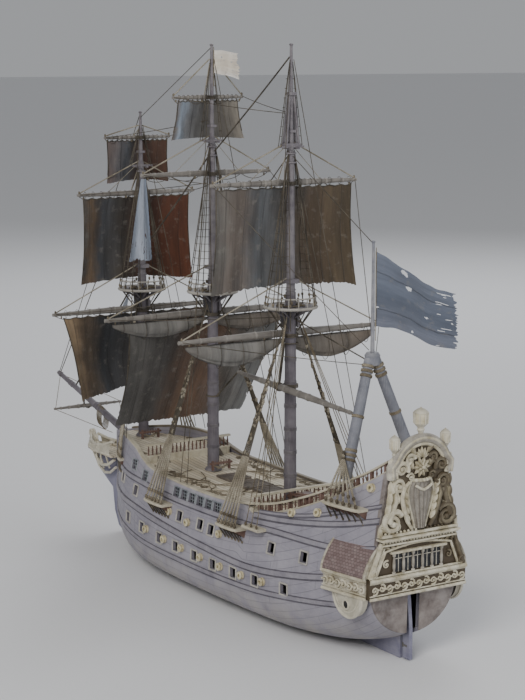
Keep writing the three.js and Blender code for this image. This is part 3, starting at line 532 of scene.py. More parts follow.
PORT = 9
LOWER_PORTS = [(120, 50), (85, 48), (49, 46), (18, 45), (-15, 44), (-46, 43), (-78, 43), (-111, 44),
               (-152, 46)]
UPPER_PORTS = [(148, 83), (109, 78), (17, 73), (-19, 73), (-37, 72), (-129, 76), (-174, 78)]
BOW_WINDOWS = [(122, 100), (95, 94.5)]
WAIST_WINDOWS = [(x, 92) for x in (-40, -26, -12, 2, 16, 30)]
WINDOW = (11, 9)
LOWER_GUNS = [(74, 49), (38, 47.5), (6, 46.5), (-27, 45.5), (-59, 44.5), (-92, 44.5), (-123, 46)]
UPPER_GUNS = [(66, 74), (35, 74), (1, 71), (-52, 72)]
QUARTER_GUNS = [(-149, 110), (-183, 117), (-238, 148)]
WALES = [  # each a strake of thicker planking: height along the ship, its own height, how far it stands out
    ([(-246, 52), (-172, 42), (-100, 35), (0, 34), (100, 36), (180, 46), (238, 62)], 3.2, 1.0),
    ([(-250, 78), (-172, 62), (-100, 53.5), (-23, 56), (32, 59), (94, 63), (176, 68), (244, 84)], 4.2, 1.5),
    ([(-252, 101), (-214, 94), (-131, 90.5), (-75, 87.5), (0, 86.5), (41, 86.5), (93, 88), (161, 90),
      (244, 99)], 3.6, 1.4),
    ([(-252, 124), (-214, 114), (-170, 106), (-130, 100.5), (-94, 97.5)], 3.4, 1.3),
    ([(-252, 136), (-214, 124), (-170, 112), (-130, 105), (-100, 101.5)], 1.8, 0.8),
]


def plank_top(x):
    return rail_at(x) - lerp(10, 2, smoothstep(x, -92, -78))


def half_breadth(x, z):
    bottom, widest, top = bottom_at(x), widest_at(x), rail_at(x)
    if z < widest:
        s = max((z - bottom) / (widest - bottom), 0)
        n = fullness_at(x)
        return beam_at(x) * (1 - (1 - s) ** n) ** (1 / n)
    u = min((z - widest) / (top - widest), 1)
    return beam_at(x) + (top_beam_at(x) - beam_at(x)) * u ** 1.4


def raked(x, z):
    return x - 0.03 * (1 - smoothstep(x, STERN_X, -200)) * (z - 60)


def on_side(x, z, side, out=0.0):
    """The point of the planking at a place along and up the ship, moved out along its normal."""
    y = half_breadth(x, z)
    along = Vector((2, half_breadth(x + 1, z) - half_breadth(x - 1, z), 0))
    up = Vector((0, half_breadth(x, z + 1) - half_breadth(x, z - 1), 2))
    normal = up.cross(along).normalized()
    if normal.y < 0:
        normal = -normal
    p = Vector((raked(x, z), y, z)) + normal * out
    return Vector((p.x, side * p.y, p.z))


def hull_section(x, inset, lift, top_extra=0.0):
    """Points from the port rail under the keel to the starboard rail."""
    bottom, top = bottom_at(x) + lift, plank_top(x) + top_extra
    widest = max(widest_at(x), bottom + 1)
    low = [0.004, 0.015, 0.035, 0.065, 0.11, 0.17, 0.25, 0.34, 0.45, 0.57, 0.7, 0.85, 1.0]
    heights = [bottom + (widest - bottom) * s for s in low]
    heights += [widest + (top - widest) * u for u in steps(0, 1, 16)[1:]]
    side = []
    for z in heights:
        y = max(half_breadth(x, max(z, bottom_at(x))) - inset, 0.6)
        side.append(Vector((raked(x, z), y, z)))
    port = side[::-1]
    starboard = [Vector((p.x, -p.y, p.z)) for p in side]
    return [*port, Vector((raked(x, bottom), 0, bottom)), *starboard]


def girths(section):
    """Distance of each point from the keel's middle, measured round the section."""
    middle = len(section) // 2
    found = [0.0] * len(section)
    for step in (1, -1):
        i = middle
        while 0 <= i + step < len(section):
            found[i + step] = found[i] + (section[i + step] - section[i]).length
            i += step
    return found


def build_hull():
    stations = sorted(set(steps(STERN_X, -206, 14) + steps(-206, 150, 80) + steps(150, 252, 40)))
    outer = [hull_section(x, 0, 0) for x in stations]
    inner_stations = [min(max(x, STERN_X + WALL + 1), 238) for x in stations]
    inner = [hull_section(x, WALL, WALL + 1) for x in inner_stations]
    n, count = len(outer[0]), len(stations)
    points = [p for row in outer for p in row] + [p for row in inner for p in row]
    skip = count * n
    faces = []
    for i in range(count - 1):
        for j in range(n - 1):
            a, b = i * n + j, i * n + j + 1
            faces.append((a, b, b + n, a + n))
            faces.append((skip + a, skip + a + n, skip + b + n, skip + b))
        for j in (0, n - 1):
            a = i * n + j
            faces.append((a, a + n, skip + a + n, skip + a))
    for i in (0, count - 1):
        for j in range(n - 1):
            a = i * n + j
            faces.append((a, a + 1, skip + a + 1, skip + a))
    half = n // 2
    for base, flip in ((0, False), ((count - 1) * n, True)):
        for j in range(half):
            q = (base + j, base + j + 1, base + n - 2 - j, base + n - 1 - j)
            if j == half - 1:
                q = (base + j, base + j + 1, base + n - 1 - j)
            faces.append(q[::-1] if flip else q)
            inside = tuple(skip + k for k in q)
            faces.append(inside if flip else inside[::-1])
    mesh = bpy.data.meshes.new("hull_planking")
    mesh.from_pydata([Vector(p) * MM for p in points], [], faces)
    around = [girths(section) for section in outer]
    whole = around[count // 2][0]
    uv = mesh.uv_layers.new(name="strakes")
    for loop in mesh.loops:
        v = loop.vertex_index % skip
        i, j = divmod(v, n)
        share = around[i][j] / max(around[i][0], 1)
        uv.data[loop.index].uv = (stations[i] + (0 if j < half else 900), share * whole)
    mesh.materials.append(materials["hull_paint"])
    hull = bpy.data.objects.new("hull_planking", mesh)
    bpy.context.scene.collection.objects.link(hull)
    face_outwards(hull)

    cutters = []
    for x, z in LOWER_PORTS + UPPER_PORTS:
        cutters.append(bar(x, 0, z, PORT, 170, PORT))
    for x, z in WAIST_WINDOWS + BOW_WINDOWS:
        cutters.append(bar(x, 0, z, *(WINDOW[0], 170, WINDOW[1])))
    cutters.append(bar(-253.5, 0, 32, 30, 12, 56))
    cutter = mesh_object("port_cutter", cutters, materials["hull_paint"])
    face_outwards(cutter)
    cut = hull.modifiers.new("ports", "BOOLEAN")
    cut.operation = "DIFFERENCE"
    cut.solver = "EXACT"
    cut.object = cutter
    bpy.context.view_layer.update()
    made = bpy.data.meshes.new_from_object(hull.evaluated_get(bpy.context.evaluated_depsgraph_get()))
    hull.modifiers.clear()
    hull.data = made
    bpy.data.objects.remove(cutter)
    made.shade_smooth()
    made.set_sharp_from_angle(angle=math.radians(30))
    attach(hull, "hull")
    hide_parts("hull_shell")


def along_side(side, height, width, out, from_x, to_x, count=110, sink=0.8, edge=0.35):
    """A moulding that follows the side at a height, standing out from the planking."""
    rows = []
    for x in steps(from_x, to_x, count):
        z = height(x)
        rows.append([on_side(x, z - width / 2, side, -sink),
                     on_side(x, z - width / 2, side, out - edge),
                     on_side(x, z - width / 2 + edge, side, out),
                     on_side(x, z + width / 2 - edge, side, out),
                     on_side(x, z + width / 2, side, out - edge),
                     on_side(x, z + width / 2, side, -sink)])
    return skin(rows, wrap=True, caps=True)


def build_wales():
    """Thicker strakes along the sides, each with a dark line above and below it."""
    parts, lines = [], []
    for side in SIDES:
        for table, width, out in WALES:
            height = curve_through(table)
            ends = table[0][0] + 1, table[-1][0] - 1
            parts.append(along_side(side, height, width, out, *ends))
            for shift, thick in ((-width / 2 - 0.65, 1.6), (width / 2 + 0.45, 1.0)):
                lines.append(along_side(side, lambda x, h=height, d=shift: h(x) + d, thick, 0.3, *ends,
                                        edge=0.1))
    piece("wales", parts, materials["wale_paint"])
    piece("wale_lines", lines, materials["wale_shadow"])


def build_port_frames():
    """Frames at the square ports, with a black plate inside each: painted shade for the dark inside of the
    hull.
    """
    frames, shade_plates = [], []
    for side in SIDES:
        for x, z in LOWER_PORTS + UPPER_PORTS:
            half = PORT / 2 + 0.6
            corners = [(-half, -half), (half, -half), (half, half), (-half, half)]
            ring = [on_side(x + a, z + b, side, 0.35) for a, b in corners]
            for k in range(4):
                frames.append(tube([ring[k], ring[(k + 1) % 4]], 0.85, 4))
            # A black plate inside each port: painted shade for the dark inside of the hull.
            shade_plates.append(bar(x, side * (half_breadth(x, z) - 7), z, PORT + 3, 1, PORT + 3))
    piece("port_frames", frames, materials["frame_cream"])
    piece("port_shade_plates", shade_plates, materials["black_painted_shade"])


def build_windows():
    """Leaded windows along the waist and at the bow."""
    bars, panes, frames = [], [], []
    w, h = WINDOW
    for side in SIDES:
        for x, z in WAIST_WINDOWS + BOW_WINDOWS:
            y = side * (half_breadth(x, z) - 1.8)
            panes.append(bar(x, y - side * 1.2, z, w + 1, 0.8, h + 1))
            for dx in (-w / 6, w / 6):
                bars.append(bar(x + dx, y, z, 0.5, 0.7, h))
            for dz in (-h / 6, h / 6):
                bars.append(bar(x, y, z + dz, w, 0.6, 0.5))
            half_w, half_h = w / 2 + 0.5, h / 2 + 0.5
            ring = [on_side(x + a, z + b, side, 0.2) for a, b in
                    ((-half_w, -half_h), (half_w, -half_h), (half_w, half_h), (-half_w, half_h))]
            for k in range(4):
                frames.append(tube([ring[k], ring[(k + 1) % 4]], 0.7, 4))
    piece("window_panes", panes, materials["window_glass"])
    piece("window_bars", bars, materials["frame_grey"])
    piece("window_frames", frames, materials["frame_grey"])


def build_guns():
    """Turned muzzles that stand out of the planking, each with a black disc in its bore as painted shade."""
    muzzle = [(2.1, -6), (2.1, 0), (3.4, 0.2), (3.75, 0.9), (3.6, 1.6), (3.0, 2.0), (3.0, 2.6), (3.6, 3.1),
              (3.5, 3.8), (2.9, 4.1), (1.5, 4.1), (1.3, 3.2), (1.3, 0.5), (0.1, 0.4)]
    for deck, guns in (("lower", LOWER_GUNS), ("upper", UPPER_GUNS)):
        for side in SIDES:
            parts = [lathe(muzzle, (x, side * (half_breadth(x, z) - 0.4), z), (0, side, 0), 18)
                     for x, z in guns]
            name = f"{deck}_guns_{SIDE_NAME[side]}"
            piece(f"{deck}_muzzles_{SIDE_NAME[side]}", parts, materials["brass"],
                  replaces=[name])
    parts = []
    for side in SIDES:
        for x, z in QUARTER_GUNS:
            base = on_side(x, z, side, -0.6)
            out = (on_side(x, z, side, 1) - on_side(x, z, side, 0)).normalized()
            parts.append(lathe(muzzle, base, out, 18))
    piece("quarter_muzzles", parts, materials["brass"])
    # A black disc part way down each bore: painted shade.
    bore_shade = [lathe([(1.25, 0), (1.25, 0.5), (0.05, 0.6)], (x, side * (half_breadth(x, z) + 2.0), z),
                   (0, side, 0), 12) for side in SIDES for x, z in LOWER_GUNS + UPPER_GUNS]
    piece("gun_bore_shade", bore_shade, materials["black_painted_shade"])


# ------------------------------------------------------------------ decks and their fittings
def waist_level(x):
    return min(plank_top(x) - 1.2, 103)


def quarter_level(x):
    return max(plank_top(x) - 4, 97)


def grating(x, y, z, sx, sy, pitch=2.4):
    """A hatch with a raised coaming and crossed battens."""
    parts = [bar(x, y + s * sy / 2, z + 1, sx + 2, 1.6, 3) for s in (-1, 1)]
    parts += [bar(x + s * sx / 2, y, z + 1, 1.6, sy + 2, 3) for s in (-1, 1)]
    for k in range(1, int(sx / pitch)):
        parts.append(bar(x - sx / 2 + k * pitch, y, z + 1.5, 0.9, sy, 0.9))
    for k in range(1, int(sy / pitch)):
        parts.append(bar(x, y - sy / 2 + k * pitch, z + 1.7, sx, 0.9, 0.8))
    return parts


def ladder(x, y, low, high, run, width):
    """Companion steps between two decks; run is how far they lean along the ship."""
    count = 6
    rails = [tube([(x, y + s * width / 2, low), (x + run, y + s * width / 2, high)], 0.8, 4) for s in (-1, 1)]
    treads = [bar(x + run * t, y, lerp(low, high, t), 2.2, width, 0.7)
              for t in (k / count for k in range(1, count))]
    return rails + treads


def rope_coil(x, y, z, radius=3.4, turns=4, thick=0.45):
    path = []
    for k in range(turns * 14 + 1):
        a = 2 * math.pi * k / 14
        r = radius - 0.5 * (k / 14) * thick * 1.8
        path.append((x + r * math.cos(a), y + r * math.sin(a), z + 0.4 + 0.12 * math.sin(a * 3.1)))
    return tube(path, thick, 5)


def build_deck_fittings():
    wood, ropes = [], []
    for x, sx, sy in ((25, 22, 22), (-8, 26, 26), (-38, 20, 22)):
        wood += grating(x, 0, waist_level(x), sx, sy)
    wood += grating(-120, 0, quarter_level(-120), 24, 20)
    for y in (-1, 1):
        wood += ladder(100, y * 30, waist_level(100), 109.5, 9, 9)
        wood += ladder(-66, y * 34, waist_level(-66), 98, -7, 9)
    piece("gratings_and_ladders", wood, materials["hatch_wood"])

    capstan = [(0.1, 0), (6, 0), (6, 1.2), (4.2, 1.6), (3.4, 5), (3.2, 8), (4.6, 9.6), (5.4, 10), (5.6, 12.5),
               (4.8, 13.4), (0.1, 13.8)]
    x, z = -98, quarter_level(-98)
    parts = [lathe(capstan, (x, 0, z), sides=16)]
    parts += [moved(bar(0, 0, 0, 24, 1.1, 1.1), lambda a, b, c, t=t: (
        x + a * math.cos(t) - b * math.sin(t), a * math.sin(t) + b * math.cos(t), z + 11.2 + c))
        for t in (0.3, 1.35, 2.4)]
    piece("capstan", parts, materials["rail_wood"])

    bitts = []
    for mast_x, level in ((FORE["x"], 109), (MAIN["x"], 103), (MIZZEN["x"], 100)):
        for side in SIDES:
            bx = mast_x - 14
            bitts.append(bar(bx, side * 9, level + 4.5, 2, 2, 9))
            for k in range(5):
                ropes.append(tube([(bx - 0.9 + 0.3 * k, side * 9, level + 5),
                                   (bx + 0.4, side * (4 - 2 * k), level + 2 - 0.3 * k)], 0.35, 5))
        bitts.append(bar(mast_x - 14, 0, level + 6.5, 2.2, 24, 1.8))
        for k in range(7):
            bitts.append(rod((mast_x - 14, -9 + 3 * k, level + 4.4), (mast_x - 14, -9 + 3 * k, level + 9.4),
                             0.5, 0.35, 6))
    piece("pin_rails", bitts, materials["rail_wood"])

    for k in range(26):
        x = lerp(-60, 96, (k * 0.618) % 1)
        y = (half_breadth(x, 100) - 9) * (1 if k % 2 else -1) * lerp(0.8, 1.0, (k * 0.37) % 1)
        ropes.append(rope_coil(x, y, waist_level(x), 2.6 + 1.4 * ((k * 0.71) % 1)))
    for k in range(8):
        x = lerp(118, 180, (k * 0.618) % 1)
        ropes.append(rope_coil(x, (half_breadth(x, 110) - 9) * (1 if k % 2 else -1), 109, 2.8))
    for k in range(10):
        x = lerp(-170, -90, (k * 0.618) % 1)
        ropes.append(rope_coil(x, (half_breadth(x, 110) - 12) * (1 if k % 2 else -1), quarter_level(x), 2.6))
    for side in SIDES:
        for k in range(9):
            a = (lerp(-55, 90, k / 8), side * (half_breadth(0, 100) - 5), 103.6)
            b = (lerp(-40, 80, ((k * 0.618) + 0.2) % 1), side * lerp(8, 30, (k * 0.41) % 1), 103.4)
            path = sagging(a, b, -1.2, 10)
            path = [p + Vector((rough(p.x, p.y, k, 14) * 6, rough(p.y, p.x, k, 12) * 6, 0)) for p in path]
            ropes.append(tube([(p.x, p.y, min(p.z, waist_level(p.x) + 1.0)) for p in path], 0.4, 5))
    piece("deck_ropes", ropes, materials["rope"])


# ------------------------------------------------------------------ rails
BALUSTER = [(1.0, 0), (1.0, 0.8), (0.55, 1.4), (0.9, 3.0), (1.0, 4.2), (0.6, 5.6), (0.5, 6.6), (0.9, 7.4),
            (0.9, 8.2)]


def build_rails():
    """Cap rails along the sheer, with a turned balustrade from the quarter aft."""
    caps, low_rails, balusters, panels = [], [], [], []
    for side in SIDES:
        def strip(from_x, to_x, low, high, width, count, crown=0.4):
            rows = []
            for x in steps(from_x, to_x, count):
                y = half_breadth(x, rail_at(x)) - WALL / 2
                px = raked(x, high(x))
                rows.append([(px, side * (y + a), b) for a, b in (
                    (-width / 2, low(x)), (width / 2, low(x)), (width / 2 + 0.3, lerp(low(x), high(x), 0.5)),
                    (width / 2, high(x) - 0.2), (0, high(x) + crown * 0.4), (-width / 2, high(x) - 0.2))])
            return skin(rows, wrap=True, caps=True)

        caps.append(strip(-249, 232, lambda x: rail_at(x) - 1.9, rail_at, 4.2, 120))
        low_rails.append(strip(-249, -86, lambda x: plank_top(x) + 0.2, lambda x: plank_top(x) + 1.9, 3.6,
                               50))
        for x in steps(-246, -98, 34):
            y = half_breadth(x, rail_at(x)) - WALL / 2
            z = plank_top(x) + 1.4
            tall = rail_at(x) - 1.6 - z
            profile = [(r * 0.9, h * tall / 8.2) for r, h in BALUSTER]
            balusters.append(lathe(profile, (raked(x, z), side * y, z), sides=8))
        for x in steps(-246, -98, 11):
            y = half_breadth(x, rail_at(x)) - WALL / 2
            z = lerp(plank_top(x), rail_at(x), 0.5)
            panels.append(bar(raked(x, z), side * y, z, 2.4, 2.6, rail_at(x) - plank_top(x) - 1))
    piece("cap_rails", caps, materials["rail_cream"],
          replaces=["side_rail_port", "side_rail_starboard"])
    piece("low_rails", low_rails, materials["rail_cream"])
    piece("balusters", balusters, materials["rail_wood"])
    piece("rail_posts", panels, materials["rail_wood"])


def cross_rail(name, x, z, half, height, replaced):
    dark, pale = [], []
    pale.append(bar(x, 0, z + 1, 2.6, 2 * half, 1.8))
    pale.append(bar(x, 0, z + height - 0.9, 3.6, 2 * half + 1, 1.8))
    for y in steps(-half + 2, half - 2, round((2 * half - 4) / 4.4)):
        tall = height - 2.6
        profile = [(r, h * tall / 8.2) for r, h in BALUSTER]
        dark.append(lathe(profile, (x, y, z + 1.7), sides=8))
    piece(f"{name}_balusters", dark, materials["rail_wood"], replaces=[replaced])
    piece(f"{name}_caps", pale, materials["rail_cream"])


def build_cross_rails():
    half = half_breadth(110, 108) - WALL - 1.6
    cross_rail("forecastle_rail", 108.4, 108.5, half, 13, "forecastle_rail")
    front = []
    for y in steps(-half + 3, half - 3, 13):
        front.append(bar(107.4, y, 105.2, 1.2, 2.2, 7.4))
    front.append(bar(108.2, 0, 105.4, 1.2, 2 * half, 7))
    piece("forecastle_bulkhead", front, materials["rail_cream"])
    z = max(plank_top(-72) - 4, 97)
    cross_rail("quarterdeck_rail", -82, z + 0.8, 47, 12, "quarterdeck_rail")


# ------------------------------------------------------------------ masts and yards
FORE = {"x": 198, "foot": 11, "top": 258, "cross": 380, "truck": 435, "radius": 5.4, "deck": 109}
MAIN = {"x": 62, "foot": 10, "top": 270, "cross": 410, "truck": 500, "radius": 5.8, "deck": 100}
MIZZEN = {"x": -70, "foot": 10, "top": 271, "cross": 410, "truck": 500, "radius": 5.8, "deck": 98}
AFT = {"x": -192, "cap": 243, "pole": 341, "leg_x": -206}
MASTS = {"fore": FORE, "main": MAIN, "mizzen": MIZZEN}
TOP_RADIUS = 23
YARDS = {  # height, half length and middle radius of each yard
    "fore": {"course": (238, 94, 3.2), "topsail": (354, 66, 2.6), "topgallant": (409, 37, 1.8)},
    "main": {"course": (250, 108, 3.4), "topsail": (381, 70, 2.8), "topgallant": (451, 38, 2)},
    "mizzen": {"course": (247, 107, 3.4), "topsail": (380, 76, 2.8)},
}


def mast_radius(mast, z):
    return mast["radius"] if z < mast["top"] else 4 if z < mast["cross"] else 2.4


def yard_x(name, level):
    z, _, radius = YARDS[name][level]
    return MASTS[name]["x"] + mast_radius(MASTS[name], z) + 2.4 + radius


def band(x, z, radius, tall=1.6):
    return lathe([(radius, -tall / 2), (radius + 0.5, -tall / 2 + 0.2), (radius + 0.5, tall / 2 - 0.2),
                  (radius, tall / 2)], (x, 0, z), sides=20)


def block(at, size=1.5):
    """A pulley block: a rounded shell."""
    return ball(at, size, (0.8, 0.55, 1.15), 8)


def build_mast(name, mast):
    x, r, top, cross = mast["x"], mast["radius"], mast["top"], mast["cross"]
    trunk = [(lerp(r, r * 0.8, t), lerp(mast["deck"] - 20, top + 14, t)) for t in steps(0, 1, 12)]
    parts = [lathe([(0.1, trunk[0][1]), *trunk, (0.1, top + 14.2)], (x, 0, 0), sides=24)]
    for z in steps(mast["deck"] + 22, top - 26, 6):
        for k in range(4):
            parts.append(band(x, z + k * 0.9, lerp(r, r * 0.8, (z - mast["deck"]) / (top - mast["deck"])),
                              0.8))
    parts.append(lathe([(r + 0.2, 0), (r + 2.4, 0.2), (r + 2.2, 1.4), (r + 0.6, 3.2), (r + 0.1, 3.4)],
                       (x, 0, mast["deck"]), sides=24))
    for side in SIDES:
        parts.append(plate([(-5, -17), (5, -17), (7, -3), (3, -2), (-3, -2)], -0.9, 0.9,
                           lambda u, v, w, s=side: (x + u, s * (r * 0.8 + 1.2 + w), top + v)))
    parts.append(rod((x, 0, top + 2), (x, 0, cross + 5), 4, 3, 20))
    parts.append(rod((x, 0, cross - 1), (x, 0, mast["truck"] - 2), 2.4, 1.2, 16))
    parts.append(ball((x, 0, mast["truck"] - 1.4), 1.9, (1, 1, 0.6)))
    cap_z = top + 24
    parts.append(bar(x, 0, cap_z, 13, 9.5, 3.6))
    for z in (top + 8, top + 16, cross - 12, cross - 4):
        parts.append(band(x, z, 4.1))
    trees = [bar(x + s * 3.2, 0, cross + 1.6, 1.8, 22, 1.6) for s in (-1, 1)]
    trees += [bar(x, s * 3.6, cross + 0.4, 15, 1.6, 1.6) for s in (-1, 1)]
    trees.append(bar(x, 0, cross + 15, 7, 6, 2.2))
    if name == "mizzen":
        for dx in (-2.6, 2.6):
            for side in SIDES:
                trees.append(rod((x + dx, side * 6.4, cross + 2), (x + dx * 0.5, side * 2.0, 456), 1.3,
                                 0.95, 8))
        trees.append(bar(x, 0, 457, 6.5, 7.5, 2.6))
        trees.append(bar(x, 0, cross + 3.4, 8, 17, 2))
    piece(f"{name}_mast", parts + trees, materials["spar_paint"],
          replaces=[f"{name}_lower_mast", f"{name}_topmast"])

    # The round top: planks, a rim, brackets below and a low rail.
    floor, rim, clutter = [], [], []
    for y in steps(-TOP_RADIUS + 1.6, TOP_RADIUS - 1.6, 11):
        reach = math.sqrt(max((TOP_RADIUS - 0.6) ** 2 - y * y, 4))
        floor.append(bar(x, y, top + 1, 2 * reach, 3.5, 1.2))
    for k in range(10):
        a = 2 * math.pi * (k + 0.5) / 10
        inner, outer = r * 0.8 + 0.8, TOP_RADIUS - 1.5
        floor.append(tube([(x + inner * math.cos(a), inner * math.sin(a), top - 8),
                           (x + outer * 0.6 * math.cos(a), outer * 0.6 * math.sin(a), top - 3.2),
                           (x + outer * math.cos(a), outer * math.sin(a), top - 0.2)], 0.9, 5))
    circle = [(x + TOP_RADIUS * math.cos(t), TOP_RADIUS * math.sin(t)) for t in
              (2 * math.pi * k / 48 for k in range(48))]
    rim.append(tube([(a, b, top + 1.2) for a, b in circle], 1.35, 6, closed=True))
    back = [(a, b) for a, b in circle if a < x + 4]
    back.sort(key=lambda p: math.atan2(p[1], -(p[0] - x)))
    rim.append(tube([(lerp(x, a, 0.96), b * 0.96, top + 10) for a, b in back], 0.7, 6))
    for a, b in back[::3]:
        rim.append(rod((lerp(x, a, 0.96), b * 0.96, top + 1), (lerp(x, a, 0.96), b * 0.96, top + 10), 0.55,
                       sides=6))
    piece(f"{name}_top_floor", floor, materials["spar_paint"])
    piece(f"{name}_top_rim", rim, materials["worn_rim"])

    # Deadeyes and lanyards round the rim, and the topmast shrouds with their ratlines.
    ropes = []
    for side in SIDES:
        feet = []
        for k in range(5):
            a = math.radians(62 + 21 * k)
            foot = (x + (TOP_RADIUS - 0.4) * math.cos(a), side * (TOP_RADIUS - 0.4) * math.sin(a), top + 3)
            head = (x - 0.5, side * 3.2, cross - 4 + 0.6 * k)
            up = (Vector(head) - Vector(foot)).normalized()
            for d in (1.5, 7.0):
                clutter.append(ball(Vector(foot) + up * d, 1.5, (1, 0.7, 1), 8))
            for dy in (-0.7, 0, 0.7):
                ropes.append(rod(Vector(foot) + Vector((dy, 0, 1)),
                                 Vector(foot) + up * 7 + Vector((dy, 0, 0)),
                                 0.22, sides=4))
            ropes.append(rod(Vector(foot) + up * 7, head, 0.42, sides=5))
            ropes.append(rod(foot, (x + (r + 0.6) * math.cos(a), side * (r + 0.6) * math.sin(a), top - 20),
                             0.45, sides=5))
            feet.append((Vector(foot) + up * 7, Vector(head)))
        for t in steps(0.03, 0.86, 16):
            ropes.append(tube([a.lerp(b, t) for a, b in feet], 0.22, 4))
    for k in range(7):
        a = 2 * math.pi * k / 7
        clutter.append(block((x + 7.5 * math.cos(a), 7.5 * math.sin(a), top + 5 + 3 * (k % 3)), 1.7))
        clutter.append(rope_coil(x + 10 * math.cos(a + 0.4), 10 * math.sin(a + 0.4), top + 2, 3, 3, 0.5))
    piece(f"{name}_top_ropes", ropes, materials["rope_dark"])
    piece(f"{name}_top_deadeyes", clutter, materials["deadeye"])


def build_aft_mast():
    x, cap = AFT["x"], AFT["cap"]
    foot_z = rail_at(AFT["leg_x"]) + 1.4
    foot_y = half_breadth(AFT["leg_x"], rail_at(AFT["leg_x"])) - WALL / 2
    parts, bindings = [], []
    for side in SIDES:
        foot, head = Vector((AFT["leg_x"], side * foot_y, foot_z)), Vector((x, side * 3, cap))
        parts.append(tube([foot.lerp(head, t) for t in steps(0, 1, 10)],
                          [lerp(5, 4.25, t) for t in steps(0, 1, 10)], 16))
        for t in (0.16, 0.2, 0.24, 0.52, 0.86, 0.9, 0.94):
            axis = head - foot
            bindings.append(lathe([(4.6, -1.3), (5.3, -1), (5.3, 1), (4.6, 1.3)], foot.lerp(head, t), axis,
                                  16))
    parts.append(lathe([(0.1, cap - 5), (6.4, cap - 5), (6.9, cap - 3), (6.2, cap + 1), (6.6, cap + 3),
                        (5.0, cap + 5.4), (0.1, cap + 5.6)], (x, 0, 0), sides=20))
    parts.append(rod((x, 0, cap), (x, 0, AFT["pole"] - 2), 1.8, 1.1, 12))
    parts.append(ball((x, 0, AFT["pole"] - 1.3), 1.7, (1, 1, 0.7)))
    piece("aft_sheers", parts, materials["leg_paint"], replaces=["aft_mast"])
    piece("aft_bindings", bindings, materials["rope"])


def build_yard(name, body, path, radius, replaced):
    """A spar tapered to both ends, with bands."""
    start, end = Vector(path[0]), Vector(path[1])
    count = 24
    points = [start.lerp(end, t) for t in steps(0, 1, count)]
    radii = [radius * (0.5 + 0.5 * min(1, (1 - abs(2 * t - 1)) / 0.7)) for t in steps(0, 1, count)]
    parts = [tube(points, radii, 16)]
    for t in (0.02, 0.1, 0.22, 0.36, 0.44, 0.56, 0.64, 0.78, 0.9, 0.98):
        here = start.lerp(end, t)
        r = radius * (0.5 + 0.5 * min(1, (1 - abs(2 * t - 1)) / 0.7))
        parts.append(lathe([(r, -1.1), (r + 0.35, -0.9), (r + 0.35, 0.9), (r, 1.1)], here, end - start, 14))
    piece(name, parts, materials["yard_paint"], body, replaces=[replaced])


def build_yards():
    for name, levels in YARDS.items():
        body = f"{name}_yards"
        ropes, blocks = [], []
        for level, (z, half, radius) in levels.items():
            x = yard_x(name, level)
            build_yard(f"{name}_{level}_spar", body, [(x, -half, z), (x, half, z)], radius,
                       f"{name}_{level}_yard")
            mast = MASTS[name]
            mast_r = mast_radius(mast, z)
            collar = [(mast["x"] + (mast_r + 0.9) * math.cos(t), (mast_r + 0.9) * math.sin(t)) for t in
                      (2 * math.pi * k / 16 for k in range(16))]
            for dz in (-1.2, 0, 1.2):
                ropes.append(tube([(a, b, z + dz) for a, b in collar], 0.5, 6, closed=True))
                ropes.append(rod((mast["x"] + mast_r, 1, z + dz), (x, 1, z + dz), 0.6, sides=6))
            for side in SIDES:
                for from_t, to_t in ((0.1, 0.55), (0.55, 0.97)):
                    a = (x + radius * 0.4, side * half * from_t, z - radius * 0.7)
                    b = (x + radius * 0.4, side * half * to_t, z - radius * 0.5)
                    ropes.append(tube(sagging(a, b, 5), 0.3, 4))
                blocks += [block((x, side * half * 0.97, z + 2.4), 1.5),
                           block((x, side * half * 0.9, z - 3), 1.3),
                           block((x - 2, side * half * 0.2, z - 3.4), 1.4)]
        piece(f"{name}_yard_ropes", ropes, materials["rope_dark"], body)
        piece(f"{name}_yard_blocks", blocks, materials["deadeye"], body)
    build_yard("spritsail_spar", "spritsail_yard", [(320, -40, 120.5), (320, 40, 120.5)], 2, "spritsail_yard")
    build_yard("lateen_spar", "lateen_yard", [(-180, 11.6, 196.5), (-2, 11.6, 205)], 3, "lateen_yard")


def build_slings():
    """Ropes that hold the aft yard to the third mast and the spritsail yard under the bowsprit."""
    def ring(centre, across, up, radius):
        centre, across, up = Vector(centre), Vector(across), Vector(up)
        return tube([centre + across * math.cos(t) + up * math.sin(t) for t in
                     (2 * math.pi * k / 20 for k in range(20))], radius, 6, closed=True)

    mast_x, yard_y, yard_z, head_z = MIZZEN["x"], 11.6, 201.75, 240
    reach = mast_radius(MIZZEN, yard_z) + 0.9
    ropes = [ring((mast_x, 0, head_z), (reach, 0, 0), (0, reach, 0), 0.55)]
    for turn in (-1.2, 0, 1.2):
        ropes.append(ring((mast_x, 0, yard_z + turn), (reach, 0, 0), (0, reach, 0), 0.5))
        ropes.append(rod((mast_x, reach, yard_z + turn), (mast_x, yard_y, yard_z + turn), 0.6, sides=6))
        ropes.append(ring((mast_x + turn, yard_y, yard_z), (0, 3.5, 0), (0, 0, 3.5), 0.5))
        ropes.append(rod((mast_x + turn, yard_y, yard_z + 3.4), (mast_x + turn, reach, head_z), 0.45,
                         sides=6))
    piece("lateen_sling", ropes, materials["rope_dark"], "lateen_yard")

    spritsail_x, middle_z = 320, 125
    loops = [ring((spritsail_x + turn, 0, middle_z), (0, 4.6, 0), (0, 0, 7.4), 0.45)
             for turn in (-1.1, 0, 1.1)]
    piece("spritsail_sling", loops, materials["rope_dark"], "spritsail_yard")


# ------------------------------------------------------------------ shrouds, stays and running ropes
CHANNELS = {
    "fore": {"x": (158, 184), "z": 97, "out": 5, "head": (196, 7, 246), "count": 5},
    "main": {"x": (33, 68), "z": 80, "out": 13, "head": (60, 7.4, 258), "count": 6},
    "mizzen": {"x": (-90, -58), "z": 84, "out": 13, "head": (-72, 7.4, 259), "count": 6},
    "aft": {"x": (-238, -196), "z": 130, "out": 11, "head": (-204, 36.6, 171), "count": 6, "gather": 0.86},
}


